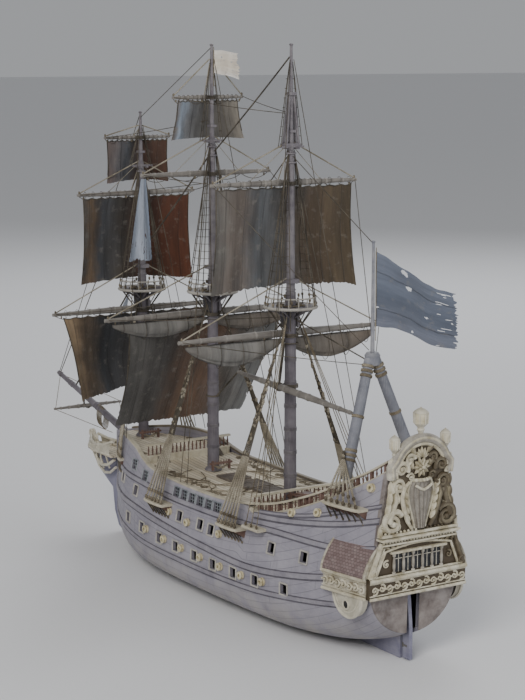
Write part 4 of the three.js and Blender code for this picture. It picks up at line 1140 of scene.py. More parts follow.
def build_shrouds():
    for name, spec in CHANNELS.items():
        (from_x, to_x), z, out = spec["x"], spec["z"], spec["out"]
        for side in SIDES:
            side_name = SIDE_NAME[side]
            shelf, ropes, eyes, knees = [], [], [], []
            rows = []
            for x in steps(from_x, to_x, 12):
                y = half_breadth(x, z)
                edge = y + out * (1 - 0.12 * abs(2 * (x - from_x) / (to_x - from_x) - 1) ** 4)
                rows.append([(raked(x, z), side * (y - 2), z - 1.2), (raked(x, z), side * edge, z - 1.2),
                             (raked(x, z), side * (edge + 0.5), z), (raked(x, z), side * edge, z + 1.2),
                             (raked(x, z), side * (y - 2), z + 1.2)])
            shelf.append(skin(rows, wrap=True, caps=True))
            for x in steps(from_x + 2, to_x - 2, 5):
                y = half_breadth(x, z)
                knees.append(plate([(y - 1, z - 10), (y + out * 0.35, z - 6), (y + out - 1, z - 1),
                                    (y - 1, z - 1)],
                                   -0.9, 0.9, lambda u, v, w, x=x: (raked(x, z) + w, side * u, v)))
            head = Vector((spec["head"][0], side * spec["head"][1], spec["head"][2]))
            lines, bright = [], []
            middle = (from_x + to_x) / 2
            centre = Vector((raked(middle, z), side * (half_breadth(middle, z) + out - 1.6), z + 1.2))
            share = spec.get("gather", 0.34)
            gather = centre.lerp(head, share)
            for x in steps(from_x + 3, to_x - 3, spec["count"] - 1):
                foot = Vector((raked(x, z), side * (half_breadth(x, z) + out - 1.6), z + 1.2))
                waist = gather + (foot.lerp(head, share) - gather) * 0.5
                up = (waist - foot).normalized()
                for d in (2.2, 9.5):
                    eyes.append(ball(foot + up * d, 2.0, (1, 0.62, 1), 10))
                for dx in (-1.0, 0, 1.0):
                    bright.append(rod(foot + up * 2.6 + Vector((dx, 0, 0)),
                                      foot + up * 9.2 + Vector((dx, 0, 0)),
                                      0.38, sides=5))
                bright.append(tube([foot + up * 9.5, foot.lerp(waist, 0.6), waist], [0.95, 0.85, 0.7], 7))
                ropes.append(tube([waist, head], 0.5, 6))
                chain_foot = on_side(x, z - 12, side, 0.5)
                ropes.append(tube([foot - Vector((0, 0, 1)), chain_foot], 0.7, 5))
                eyes.append(ball(chain_foot, 1.3, (1, 0.6, 1), 8))
                lines.append((foot + up * 9.5, waist, head))
            for t in (0.55, 0.97, 1.0):
                bright.append(tube([a.lerp(w, t) for a, w, _ in lines], 0.42, 5))
            ratlines = int((head - lines[0][1]).length / 6.4)
            for t in steps(0.02, 0.93, ratlines):
                ropes.append(tube([w.lerp(h, t) for _, w, h in lines], 0.32, 4))
            for k in range(80 if share < 0.5 else 6):
                t = 0.5 + 0.5 * noise.noise(Vector((k * 3.3, z * 0.1, 1.0)))
                _, w, h = lines[k % len(lines)]
                knot = w.lerp(h, min(max(1.5 * t - 0.3, 0.02), 0.8))
                size = 1.0 + 1.4 * abs(noise.noise(Vector((k * 1.7, 2.0, z))))
                (bright if k % 2 == 0 else eyes).append(ball(knot, size, (1, 0.7, 1.3), 7))
            for k in range(4):
                ropes.append(tube([head + Vector((0.9 * math.cos(q), 0.9 * math.sin(q), 1.2 * k - 3))
                                   for q in (2 * math.pi * i / 10 for i in range(10))], 0.6, 5, closed=True))
            piece(f"{name}_channel_{side_name}", shelf, materials["rail_cream"])
            piece(f"{name}_rope_gang_{side_name}", ropes, materials["rope_dark"],
                  replaces=[f"{name}_shrouds_{side_name}"])
            piece(f"{name}_deadeyes_{side_name}", eyes, materials["deadeye"])
            piece(f"{name}_lanyards_{side_name}", bright, materials["rope_pale"])
            piece(f"{name}_knees_{side_name}", knees, materials["rail_wood"])


def build_side_platform():
    """The short outboard shelf behind the third mast's channel, with its backstays."""
    shelf, ropes = [], []
    for side in SIDES:
        rows = []
        for x in steps(-119, -95, 8):
            y = half_breadth(x, 89)
            rows.append([(x, side * (y - 2), 88), (x, side * (y + 10), 88), (x, side * (y + 10.5), 89.2),
                         (x, side * (y + 10), 90.4), (x, side * (y - 2), 90.4)])
        shelf.append(skin(rows, wrap=True, caps=True))
        for x in (-115, -107, -99):
            foot = Vector((x, side * (half_breadth(x, 89) + 8.5), 90.4))
            ropes.append(rod(foot, (-73, side * 5, 268), 0.4, sides=5))
            ropes.append(ball(foot + Vector((0, 0, 1.6)), 1.7, (1, 0.6, 1), 8))
    piece("side_platforms", shelf, materials["rail_cream"])
    piece("side_backstays", ropes, materials["rope"])


def build_stays():
    """Fore-and-aft stays and the backstays, all fast to the hull."""
    def collar(mast, z):
        reach = mast["radius"] * 0.9 + 0.6
        ring = [(mast["x"] + reach * math.cos(t), reach * math.sin(t), z) for t in
                (2 * math.pi * k / 16 for k in range(16))]
        return tube(ring, 0.8, 6, closed=True)

    # The lower mizzen stay's collar is high, so that the slanting aft yard swings below the stay.
    main_collar_z, fore_collar_z = 172, 138
    ropes = [
        tube(sagging((66.6, 0, 398), (193, 0, 300), 1), 0.75, 6),
        tube(sagging((-67.4, 0, 488), (57.4, 0, 402), 1), 0.7, 6),
        tube(sagging((222.8, 0, 256), (346, 0, 139), 0.5), 0.85, 6),
        rod((202, 0, 376), (384, 0, 146), 0.5, sides=5),
        rod((200, 0, 430), (386, 0, 147), 0.4, sides=5),
        rod((68, 0, 262), (FORE["x"] - FORE["radius"], 0, fore_collar_z), 0.8, sides=6),
        rod((-64, 0, 262), (MAIN["x"] - MAIN["radius"], 0, main_collar_z), 0.8, sides=6),
        collar(FORE, fore_collar_z),
        collar(MAIN, main_collar_z),
        rod((-66, 0, 404), (57, 0, 300), 0.5, sides=5),
        rod((-188, 0, 240), (-76, 0, 262), 0.6, sides=5),
        rod((-192, 0, 338), (-72, 0, 404), 0.35, sides=5),
        rod((63.4, 0, 496), (199, 0, 428), 0.35, sides=5),
    ]
    for mast in MASTS.values():
        for side in SIDES:
            x = mast["x"]
            for aft, from_z in ((34, mast["cross"]), (46, mast["truck"] - 14)):
                foot_x = x - aft
                foot = (foot_x, side * (half_breadth(foot_x, 100) - 1), rail_at(foot_x))
                ropes.append(rod(foot, (x - 1, side * 2, from_z), 0.35, sides=5))
            ropes.append(rod((x - 1, side * 11, mast["cross"] + 2), (x, side * 1.6, mast["truck"] - 16), 0.35,
                             sides=5))
            ropes.append(rod((x + 3, side * 11, mast["cross"] + 2), (x, side * 1.6, mast["truck"] - 16), 0.35,
                             sides=5))
            for t in steps(0.12, 0.8, 6):
                a, b = lerp(11, 1.6, t), lerp(mast["cross"] + 2, mast["truck"] - 16, t)
                ropes.append(rod((x - 1, side * a, b), (x + 3, side * a, b), 0.25, sides=4))
    piece("stays", ropes, materials["rope_dark"], replaces=["main_stay", "mizzen_stay"])


LIFT_HEADS = {"course": lambda m: m["top"] + 27, "topsail": lambda m: m["cross"] + 6,
              "topgallant": lambda m: m["truck"] - 14}


def build_lifts():
    """Lifts and halyards from each yard to its mast. They meet it near the line that the yards turn about."""
    for name, levels in YARDS.items():
        mast, ropes = MASTS[name], []
        for level, (z, half, _) in levels.items():
            x = yard_x(name, level)
            head_z = LIFT_HEADS[level](mast)
            for side in SIDES:
                ropes.append(rod((x, side * half * 0.96, z + 2), (mast["x"] + 1, side * 1.5, head_z), 0.62,
                                 sides=6))
                if level != "course":
                    ropes.append(rod((x, side * half * 0.1, z + 2), (mast["x"] + 2, side * 1.0, head_z - 4),
                                     0.5,
                                     sides=5))
                if level == "topsail":
                    ropes.append(rod((x, side * half * 0.5, z + 1), (mast["x"] + 2, side * 1.5, head_z - 2),
                                     0.3,
                                     sides=5))
        piece(f"{name}_lifts", ropes, materials["rope_pale"], f"{name}_yards")


BRACES = {  # where each yard's braces are made fast: x, y out from the middle, z
    "fore": {"course": (72, 3, 262), "topsail": (68, 2, 372), "topgallant": (66, 2, 430)},
    "main": {"course": (-60, 4, 262), "topsail": (-66, 2, 372), "topgallant": (-68, 2, 440)},
    "mizzen": {"course": (-190, 4, 238), "topsail": (-190, 2, 250)},
}


def build_braces():
    """Braces run aft from the yardarms."""
    for name, levels in BRACES.items():
        for level, (to_x, to_y, to_z) in levels.items():
            z, half, _ = YARDS[name][level]
            for side in SIDES:
                start = (yard_x(name, level) - 1.5, side * half * 0.97, z + 0.5)
                end = (to_x, side * to_y, to_z)
                made = mesh_object(f"{name}_{level}_brace_{SIDE_NAME[side]}",
                                   [tube(sagging(start, end, 1.2, 14), 0.34, 5)], materials["rope_dark"])
                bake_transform(made)


# ------------------------------------------------------------------ sails and flags
def ragged(t, seed, depth):
    """How much of the cloth's foot is torn away at a place across it, from 0 to about depth."""
    broad = max(0.0, noise.noise(Vector((t * 4.1, seed, 0.3))))
    fine = abs(noise.noise(Vector((t * 23.0, seed + 5, 0.7))))
    frayed = abs(noise.noise(Vector((t * 71.0, seed + 9, 0.1))))
    return depth * (0.9 * broad + 0.55 * fine + 0.4 * frayed)


def cloth_sheet(name, surface, size, material, body, seed, tear=0.1, holes=0.0, grid=(110, 76),
                replaces=(), side_tear=0.0):
    """A single cloth whose foot is torn. surface(u, v) gives a point in mm; u and v run from 0 to 1."""
    across, down = grid
    width, length = size
    points, uvs, faces = [], [], []
    for j in range(down + 1):
        for i in range(across + 1):
            t = i / across
            v = j / down * (1 - ragged(t, seed, tear))
            left = side_tear * abs(noise.noise(Vector((v * 17, seed, 4.0))))
            right = side_tear * abs(noise.noise(Vector((v * 19, seed, 8.0))))
            u = lerp(left, 1 - right, t)
            points.append(Vector(surface(u, v)))
            uvs.append((u * width, v * length))
    for j in range(down):
        for i in range(across):
            u, v = i / across, j / down
            gap = noise.noise(Vector((u * 9, v * 11, seed * 1.7)))
            slit = noise.noise(Vector((u * 55, v * 4, seed + 3)))
            near_foot = smoothstep(v, 0.6, 1.0)
            if holes and (gap > 0.62 - 0.22 * near_foot * holes or (near_foot > 0.35 and slit > 0.46)):
                continue
            a = j * (across + 1) + i
            faces.append((a, a + 1, a + across + 2, a + across + 1))
    mesh = bpy.data.meshes.new(name)
    mesh.from_pydata([p * MM for p in points], [], faces)
    layer = mesh.uv_layers.new(name="cloth")
    for loop in mesh.loops:
        layer.data[loop.index].uv = uvs[loop.vertex_index]
    mesh.materials.append(material)
    mesh.shade_smooth()
    made = bpy.data.objects.new(name, mesh)
    bpy.context.scene.collection.objects.link(made)
    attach(made, body)
    if replaces:
        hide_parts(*replaces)
    return made


def square_sail(name, level, spec, seed, tear, holes, material, replaced, body, creases=1.0,
                side_tear=0.0):
    """A four-cornered sail below a yard, bellied forward, with creases that deepen towards its foot."""
    x, head, foot = spec["x"], spec["head"], spec["foot"]
    head_half, foot_half = spec["head_half"], spec["foot_half"]
    belly, sweep = spec["belly"], spec.get("sweep", 0)

    def surface(u, v):
        half = lerp(head_half, foot_half, v)
        across = 2 * u - 1
        hollow = belly * math.sin(math.pi * 0.82 * v) * (1 - across ** 2)
        side_curve = 1 - 0.035 * math.sin(math.pi * v)
        scallop = 1.6 * abs(math.sin(math.pi * 12 * u)) * (1 - v) ** 8
        crease = creases * (1.5 * rough(u * 100, v * 22, seed * 31, 9)
                            + 2.4 * rough(u * 100, v * 30, seed * 17, 26))
        arch = 0.05 * (head - foot) * (1 - across ** 2) * v ** 2 * (0 if sweep else 1)
        return (x + hollow + sweep * v ** 1.3 + crease * (0.25 + v) * 0.9,
                half * across * side_curve, lerp(head, foot, v) - scallop + arch)

    width, length = head_half + foot_half, abs(head - foot) * (1.0 if not sweep else 1.15)
    made = cloth_sheet(name, surface, (width, length), material, body, seed, tear, holes, replaces=replaced,
                       side_tear=side_tear)
    ropes = [tube([surface(0.004, v) for v in steps(0, 0.8, 20)], 0.5, 5),
             tube([surface(0.996, v) for v in steps(0, 0.8, 20)], 0.5, 5),
             tube([surface(u, 0.002) for u in steps(0, 1, 40)], 0.5, 5)]
    yard_z, _, yard_r = YARDS[body.split("_")[0]][level]
    for u in steps(0.02, 0.98, 13):
        px, py, pz = surface(u, 0.004)
        loop = [(x + (yard_r + 0.2) * math.cos(t), py + 0.2 * math.sin(t * 2),
                 yard_z + (yard_r + 0.2) * math.sin(t))
                for t in (2 * math.pi * k / 12 for k in range(12))]
        ropes.append(tube(loop, 0.22, 4, closed=True))
        ropes.append(rod((x, py, yard_z - yard_r), (px, py, pz), 0.3, sides=4))
    piece(f"{name}_ropes", ropes, materials["rope_dark"], body)
    return made


def gathered_sail(name, x, head, half, depth, thick, body, replaced, seed):
    """A sail hauled up to its yard in folds, thick in the middle of each half."""
    layers, steps_down = 5, 9
    across = 120

    def fold(y):
        swell = abs(math.sin(math.pi * abs(y) / half)) ** 0.8
        drop, t = 2.4 + depth * swell, 0.8 + thick * swell
        row = []
        for k in range(layers):
            for q in steps(0, 1, steps_down)[:-1]:
                turn = q if k % 2 == 0 else 1 - q
                offset = lerp(t / 2, -t / 2, (k + q) / layers)
                bulge = math.sin(math.pi * turn)
                ripple = 0.6 * rough(y, k * 20 + q * 9, seed * 10, 16) * swell
                deeper = 1 - 0.10 * abs(k - 2) + 0.05 * rough(y, k * 31, seed, 34)
                row.append((x + offset * (0.6 + bulge) + ripple, y,
                            head - 0.6 - drop * turn * deeper + 0.35 * rough(y, k * 13, seed + 2, 9) * swell))
        return row

    rows = [fold(y) for y in steps(-half, half, across)]
    points, faces = skin(rows)
    mesh = bpy.data.meshes.new(name)
    mesh.from_pydata([Vector(p) * MM for p in points], [], faces)
    layer = mesh.uv_layers.new(name="cloth")
    n = len(rows[0])
    for loop in mesh.loops:
        i, j = divmod(loop.vertex_index, n)
        layer.data[loop.index].uv = (i * 2 * half / across, j * 1.6)
    mesh.materials.append(materials["furled_cloth"])
    mesh.shade_smooth()
    made = bpy.data.objects.new(name, mesh)
    bpy.context.scene.collection.objects.link(made)
    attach(made, body)
    if replaced:
        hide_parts(*replaced)
    # The cut is as wide as the yard. Each half has a rounded foot, so it is longest in its middle.
    ties = []
    for y in steps(-half * 0.9, half * 0.9, 8):
        swell = abs(math.sin(math.pi * abs(y) / half)) ** 0.8
        drop, t = 2.4 + depth * swell, 0.8 + thick * swell
        loop = [(x + (t * 0.62 + 1.2) * math.cos(a), y + 0.3 * math.sin(3 * a),
                 head + 2.2 - (drop + 3.6) / 2 + (drop + 3.8) / 2 * math.sin(a))
                for a in (2 * math.pi * k / 18 for k in range(18))]
        ties.append(tube(loop, 0.28, 5, closed=True))
    piece(f"{name}_ties", ties, materials["rope_dark"], body)


def build_sails():
    def spec(name, level, foot, head_half, foot_half, belly, sweep=0, head=None):
        z, _, radius = YARDS[name][level]
        return {"x": yard_x(name, level), "head": head or z - radius - 0.4, "foot": foot,
                "head_half": head_half, "foot_half": foot_half, "belly": belly, "sweep": sweep}

    square_sail("fore_course_cloth", "course", spec("fore", "course", 148, 83, 63, 30), 1, 0.05, 0.0,
                materials["sail_fore"], ["fore_course"], "fore_yards", side_tear=0.012)
    square_sail("fore_topsail_cloth", "topsail", spec("fore", "topsail", 264, 60, 63, 15), 2, 0.035, 0.0,
                materials["sail_fore_upper"], ["fore_topsail"], "fore_yards")
    square_sail("fore_topgallant_cloth", "topgallant", spec("fore", "topgallant", 364, 34, 35, 5), 3, 0.04,
                0.0,
                materials["sail_fore_top"], ["fore_topgallant"], "fore_yards")
    square_sail("main_topgallant_cloth", "topgallant", spec("main", "topgallant", 412, 32, 40, 4), 4, 0.025,
                0.0,
                materials["sail_main_top"], ["main_topgallant"], "main_yards")
    square_sail("mizzen_topsail_cloth", "topsail", spec("mizzen", "topsail", 284, 71, 77, 9), 5, 0.06, 0.0,
                materials["sail_mizzen"], ["mizzen_topsail"], "mizzen_yards")
    z, _, radius = YARDS["main"]["course"]
    gathered_sail("main_course_gathered", yard_x("main", "course"), z - radius - 0.4, 100, 14, 7,
                  "main_yards", ["main_course"], 6)
    square_sail("main_course_cloth", "course", spec("main", "course", 138, 84, 70, 8, 54, 240), 7, 0.06, 0.0,
                materials["sail_main"], [], "main_yards", side_tear=0.02)
    z, _, radius = YARDS["mizzen"]["course"]
    gathered_sail("mizzen_course_gathered", yard_x("mizzen", "course"), z - radius - 0.4, 100, 20, 8,
                  "mizzen_yards", ["mizzen_course"], 8)

    top_x = yard_x("main", "topsail")

    def torn_strip(u, v):
        centre, half = lerp(67.5, 69, v), lerp(2.6, 13.5, v)
        fold = 2.2 * math.sin(u * 9 + v * 2) * v
        return (top_x + lerp(0, 4, v) + fold, centre + half * (2 * u - 1), lerp(377.8, 302, v))

    cloth_sheet("main_topsail_cloth", torn_strip, (27, 77), materials["sail_blue"], "main_yards", 9, 0.06,
                0.1,
                (50, 60), ["main_topsail"], side_tear=0.06)

    def staysail(u, v):
        head, tack, clew = Vector((224, 0, 253)), Vector((300, 0, 168.5)), Vector((238, 0, 214))
        low = tack.lerp(clew, u)
        p = head.lerp(low, v)
        return p + Vector((0, 3.0 * math.sin(math.pi * v) * math.sin(math.pi * u), 0))

    cloth_sheet("fore_staysail_cloth", staysail, (16, 113), materials["sail_blue"], "hull", 10, 0.08, 0.2,
                (50, 60), ["fore_staysail"])


def build_flag(name, pole_x, pole_radius, profile, ripple, cloth, seed, holes, replaced):
    """A worn cloth streaming from its pole. Profile rows are (distance, low edge, high edge)."""
    reach = profile[-1][0]
    low = curve_through([(d, a) for d, a, _ in profile])
    high = curve_through([(d, b) for d, _, b in profile])
    ahead = Vector((-0.7, -0.714, 0))
    aside = Vector((0.714, -0.7, 0))

    def surface(u, v):
        d = reach * v
        wave = ripple * math.sin(2 * math.pi * v * 1.15 + 0.7 * u) * (0.25 + v)
        wave += 1.3 * rough(d, u * 40, seed * 7, 11)
        p = Vector((pole_x, 0, 0)) + ahead * (d + pole_radius) + aside * wave
        return (p.x, p.y, lerp(high(d), low(d), u) + 0.8 * rough(d, u * 30, seed, 8))

    height = profile[0][2] - profile[0][1]
    cloth_sheet(name, surface, (height, reach), cloth, "hull", seed, 0.17, holes, (84, 110), replaced)
    rope = [tube([surface(u, 0.0) for u in steps(0, 1, 16)], 0.5, 5),
            tube([(pole_x + ahead.x * pole_radius, ahead.y * pole_radius, z) for z in
                  steps(low(0) - 12, high(0) + 3, 4)], 0.35, 5)]
    piece(f"{name}_halyard", rope, materials["rope"])


def build_flags():
    build_flag("ensign_cloth", AFT["x"], 2.4, [(0, 270, 332), (26, 266, 316), (48, 256, 304), (68, 251, 297)],
               5.5, materials["flag_blue"], 12, 0.12, ["ensign"])
    build_flag("masthead_flag_cloth", MAIN["x"], 2, [(0, 473, 494), (12, 471, 493), (24, 467, 491)],
               3.0, materials["flag_pale"], 14, 0.25, ["masthead_flag"])


# ------------------------------------------------------------------ stern
def stern_x(z, out=0.0):
    """The stern's aft face at a height, moved aft by out."""
    return raked(STERN_X, z) - 0.4 - out


def stern_tube(points, out, radius, sides=8, squash=1.0):
    return tube([(stern_x(z, out), y, z) for y, z in points], radius, sides, squash)


def arc(cy, cz, r, start, end, count=18):
    return [(cy + r * math.cos(a), cz + r * math.sin(a)) for a in steps(start, end, count)]


def scroll(cy, cz, radius, start, turns, flip=1, count=34):
    """Points of a spiral that winds in to its eye."""
    points = []
    for t in steps(0, 1, count):
        a = start + flip * turns * 2 * math.pi * t
        r = radius * (1 - 0.88 * t)
        points.append((cy + r * math.cos(a), cz + r * math.sin(a)))
    return points


def stern_scroll(cy, cz, radius, start, turns, flip, out, thick):
    points = scroll(cy, cz, radius, start, turns, flip)
    radii = [thick * (1 - 0.55 * i / (len(points) - 1)) for i in range(len(points))]
    eye = points[-1]
    return [stern_tube(points, out, radii, 7), ball((stern_x(eye[1], out + 0.3), *eye), thick * 1.0, sides=8)]


def leaf(cy, cz, angle, length, width, out, rise=1.4):
    """A pointed, ridged leaf lying on the stern."""
    rows = []
    for t in steps(0, 1, 7):
        half = width / 2 * math.sin(math.pi * min(1, t * 0.92 + 0.08)) ** 0.8
        curl = 0.25 * length * (t ** 2) * math.sin(angle * 1.3)
        row = []
        for s in (-1, -0.5, 0, 0.5, 1):
            a, b = length * t, half * s
            y = cy + a * math.cos(angle) - b * math.sin(angle) + curl * 0.2
            z = cz + a * math.sin(angle) + b * math.cos(angle)
            row.append((stern_x(z, out + rise * (1 - abs(s)) * (0.4 + math.sin(math.pi * t))), y, z))
        rows.append(row)
    return skin(rows)


def mirrored(build):
    """Parts made on the port side and again, mirrored, on the starboard side."""
    parts = build()
    return parts + [moved(p, lambda x, y, z: (x, -y, z)) for p in parts]


CREST = [(38, 111), (37.5, 117), (32, 124), (30, 134), (28.5, 148), (27, 156), (29, 164), (29.5, 172)]
CREST_ARCH = arc(0, 161.5, 27, 0.42, math.pi / 2, 12)


def build_taffrail():
    half = CREST + CREST_ARCH[1:]
    outline = half + [(-y, z) for y, z in half[::-1][1:]]
    back = [plate(outline, 0.4, 3.4, lambda y, z, w: (stern_x(z, w), y, z))]
    piece("crest_panel", back, materials["carved_dark"], replaces=["taffrail"])

    parts = []
    rim = half + [(-y, z) for y, z in half[::-1][1:]]
    arch = [(28.5, 158), (29.5, 167)] + CREST_ARCH + [(-y, z) for y, z in CREST_ARCH[::-1][1:]]
    arch += [(-29.5, 167), (-28.5, 158)]
    piece("crest_arch", [stern_tube(arch, 3.0, 4.0, 12)], materials["carved_grey"])
    parts.append(stern_tube([(y * 0.86, 160 + (z - 160) * 0.84) for y, z in arch], 4.4, 1.5, 8))
    parts.append(stern_tube([(y * 1.02, z + 0.5) for y, z in arch], 6.0, 1.3, 8))
    parts.append(stern_tube(rim, 2.2, 2.2, 8))

    def one_side():
        made = []
        made += stern_scroll(27.0, 122.0, 10.0, 2.6, 1.7, -1, 4.2, 2.7)
        made += stern_scroll(22.5, 117.5, 3.8, 0.4, 1.2, 1, 4.4, 1.2)
        made += stern_scroll(22, 151, 6.5, -0.6, 1.6, 1, 4.4, 2.1)
        made += stern_scroll(19.5, 165, 6.2, 3.6, 1.5, -1, 4.6, 2.1)
        made += stern_scroll(11.5, 172, 4.6, 3.0, 1.4, -1, 4.6, 1.7)
        made += stern_scroll(10.5, 157.5, 3.6, 0.2, 1.3, 1, 4.6, 1.2)
        path = [(31, 122), (28, 131), (24.5, 140), (24.5, 148), (27, 155)]
        made.append(stern_tube(path, 3.6, [3.4, 3.0, 2.6, 2.4, 2.0], 8))
        inner = [(9, 115.5), (13.5, 122), (17, 132), (19.5, 142), (17, 150), (12.5, 154)]
        made.append(stern_tube(inner, 5.6, [1.4, 1.7, 2.0, 2.0, 1.7, 1.2], 8))
        for k, (y, z, a, size) in enumerate(((33, 128, 1.9, 9), (30.5, 136, 1.7, 9), (28.5, 145, 1.5, 9),
                                             (24, 128, 1.2, 8), (21.5, 137, 1.4, 8), (19, 162, 0.3, 7),
                                             (15, 166, 2.2, 7), (24, 172, 1.9, 8), (8, 164, 1.2, 7),
                                             (6, 176, 0.9, 7), (15, 178, 0.6, 7), (30, 116, 0.4, 7))):
            made.append(leaf(y, z, a, size * 1.3, size * 0.75, 3.6, 2.4))
        for k in range(9):
            made.append(ball((stern_x(113.5, 4.6), 3.8 + 3.8 * k, 113.8), 1.15, sides=8))
        return made

    parts += mirrored(one_side)
    # A generic rosette at the head of the panel.
    for k in range(10):
        a = 2 * math.pi * k / 10
        parts.append(leaf(2.0 * math.cos(a), 165 + 2.0 * math.sin(a), a, 6.4, 3.6, 4.4, 1.8))
    for k in range(6):
        a = 2 * math.pi * (k + 0.5) / 6
        parts.append(leaf(math.cos(a), 165 + math.sin(a), a, 3.6, 2.4, 6.0, 1.4))
    parts.append(ball((stern_x(165, 7.6), 0, 165), 1.7))
    for k in range(7):
        a = math.pi / 2 + (k - 3) * 0.36
        parts.append(leaf(1.5 * math.cos(a), 172 + math.sin(a), a, 9 - abs(k - 3), 3.2, 4.2, 1.6))
    # The tall shield, cupped like a vase, with a plain field.
    rows = []
    for t in steps(0, 1, 14):
        z = lerp(115, 155, t)
        wide = 5.4 + 7.4 * math.sin(math.pi * min(t * 0.62, 1)) ** 1.4 - 2.6 * smoothstep(t, 0.8, 1.0)
        rows.append([(stern_x(z, 4.0 + 4.6 * (1 - s * s) - 0.9 * abs(math.sin(3 * math.pi * s))), wide * s, z)
                     for s in steps(-1, 1, 36)])
    piece("crest_shield", [skin(rows)], materials["carved_grey"])
    for s in SIDES:
        parts.append(tube([row[-1 if s > 0 else 0] for row in rows], 1.2, 7))
        for k in range(5):
            t = 0.12 + 0.19 * k
            parts.append(leaf(s * lerp(10, 15, t), lerp(117, 150, t), math.pi / 2 - s * 0.45, 9, 5, 4.4, 2.6))
    parts.append(tube(rows[-1], 1.5, 7))
    parts.append(stern_tube([(-8, 151), (-3, 148), (0, 147), (3, 148), (8, 151)], 8.6, 1.1, 7))
    parts.append(bar(stern_x(112, 3.0), 0, 111.8, 6, 77, 2.2))
    parts.append(bar(stern_x(109.5, 4.0), 0, 109.0, 8.4, 79, 1.6))
    piece("crest_carving", parts, materials["carved_cream"])


def build_lanterns():
    glass, frames = [], []
    for y, low, high, radius, name in ((0, 189.2, 213.6, 6.2, "lantern_centre"), (25.5, 172, 193.8, 4.1, ""),
                                       (-25.5, 172, 193.8, 4.1, "")):
        h = high - low
        at = (stern_x(low, 2.0), y, low)
        profile = [(0.5, 0), (0.42, 0.04), (0.3, 0.10), (0.42, 0.2), (0.55, 0.24), (0.4, 0.3), (0.8, 0.42),
                   (0.95, 0.46)]
        frames.append(lathe([(0.1, 0), *[(r * radius, t * h) for r, t in profile]], at, sides=16))
        frames.append(lathe([(radius * 0.98, h * 0.80), (radius * 1.02, h * 0.82), (radius * 0.8, h * 0.88),
                             (radius * 0.5, h * 0.93), (radius * 0.2, h * 0.96), (0.6, h * 0.99), (0.1, h)],
                            at, sides=16))
        glass.append(lathe([(radius * 0.86, h * 0.45), (radius * 0.92, h * 0.81)], at, sides=12))
        for k in range(8):
            a = 2 * math.pi * k / 8
            foot = (at[0] + radius * 0.93 * math.cos(a), y + radius * 0.93 * math.sin(a), low + h * 0.45)
            head = (at[0] + radius * 0.98 * math.cos(a), y + radius * 0.98 * math.sin(a), low + h * 0.82)
            frames.append(rod(foot, head, 0.5, sides=6))
        if name:
            piece("great_lantern", frames, materials["carved_pale"], replaces=[name])
            frames = []
    piece("side_lanterns", frames, materials["carved_pale"])
    piece("lantern_panes", glass, materials["horn_pane"])


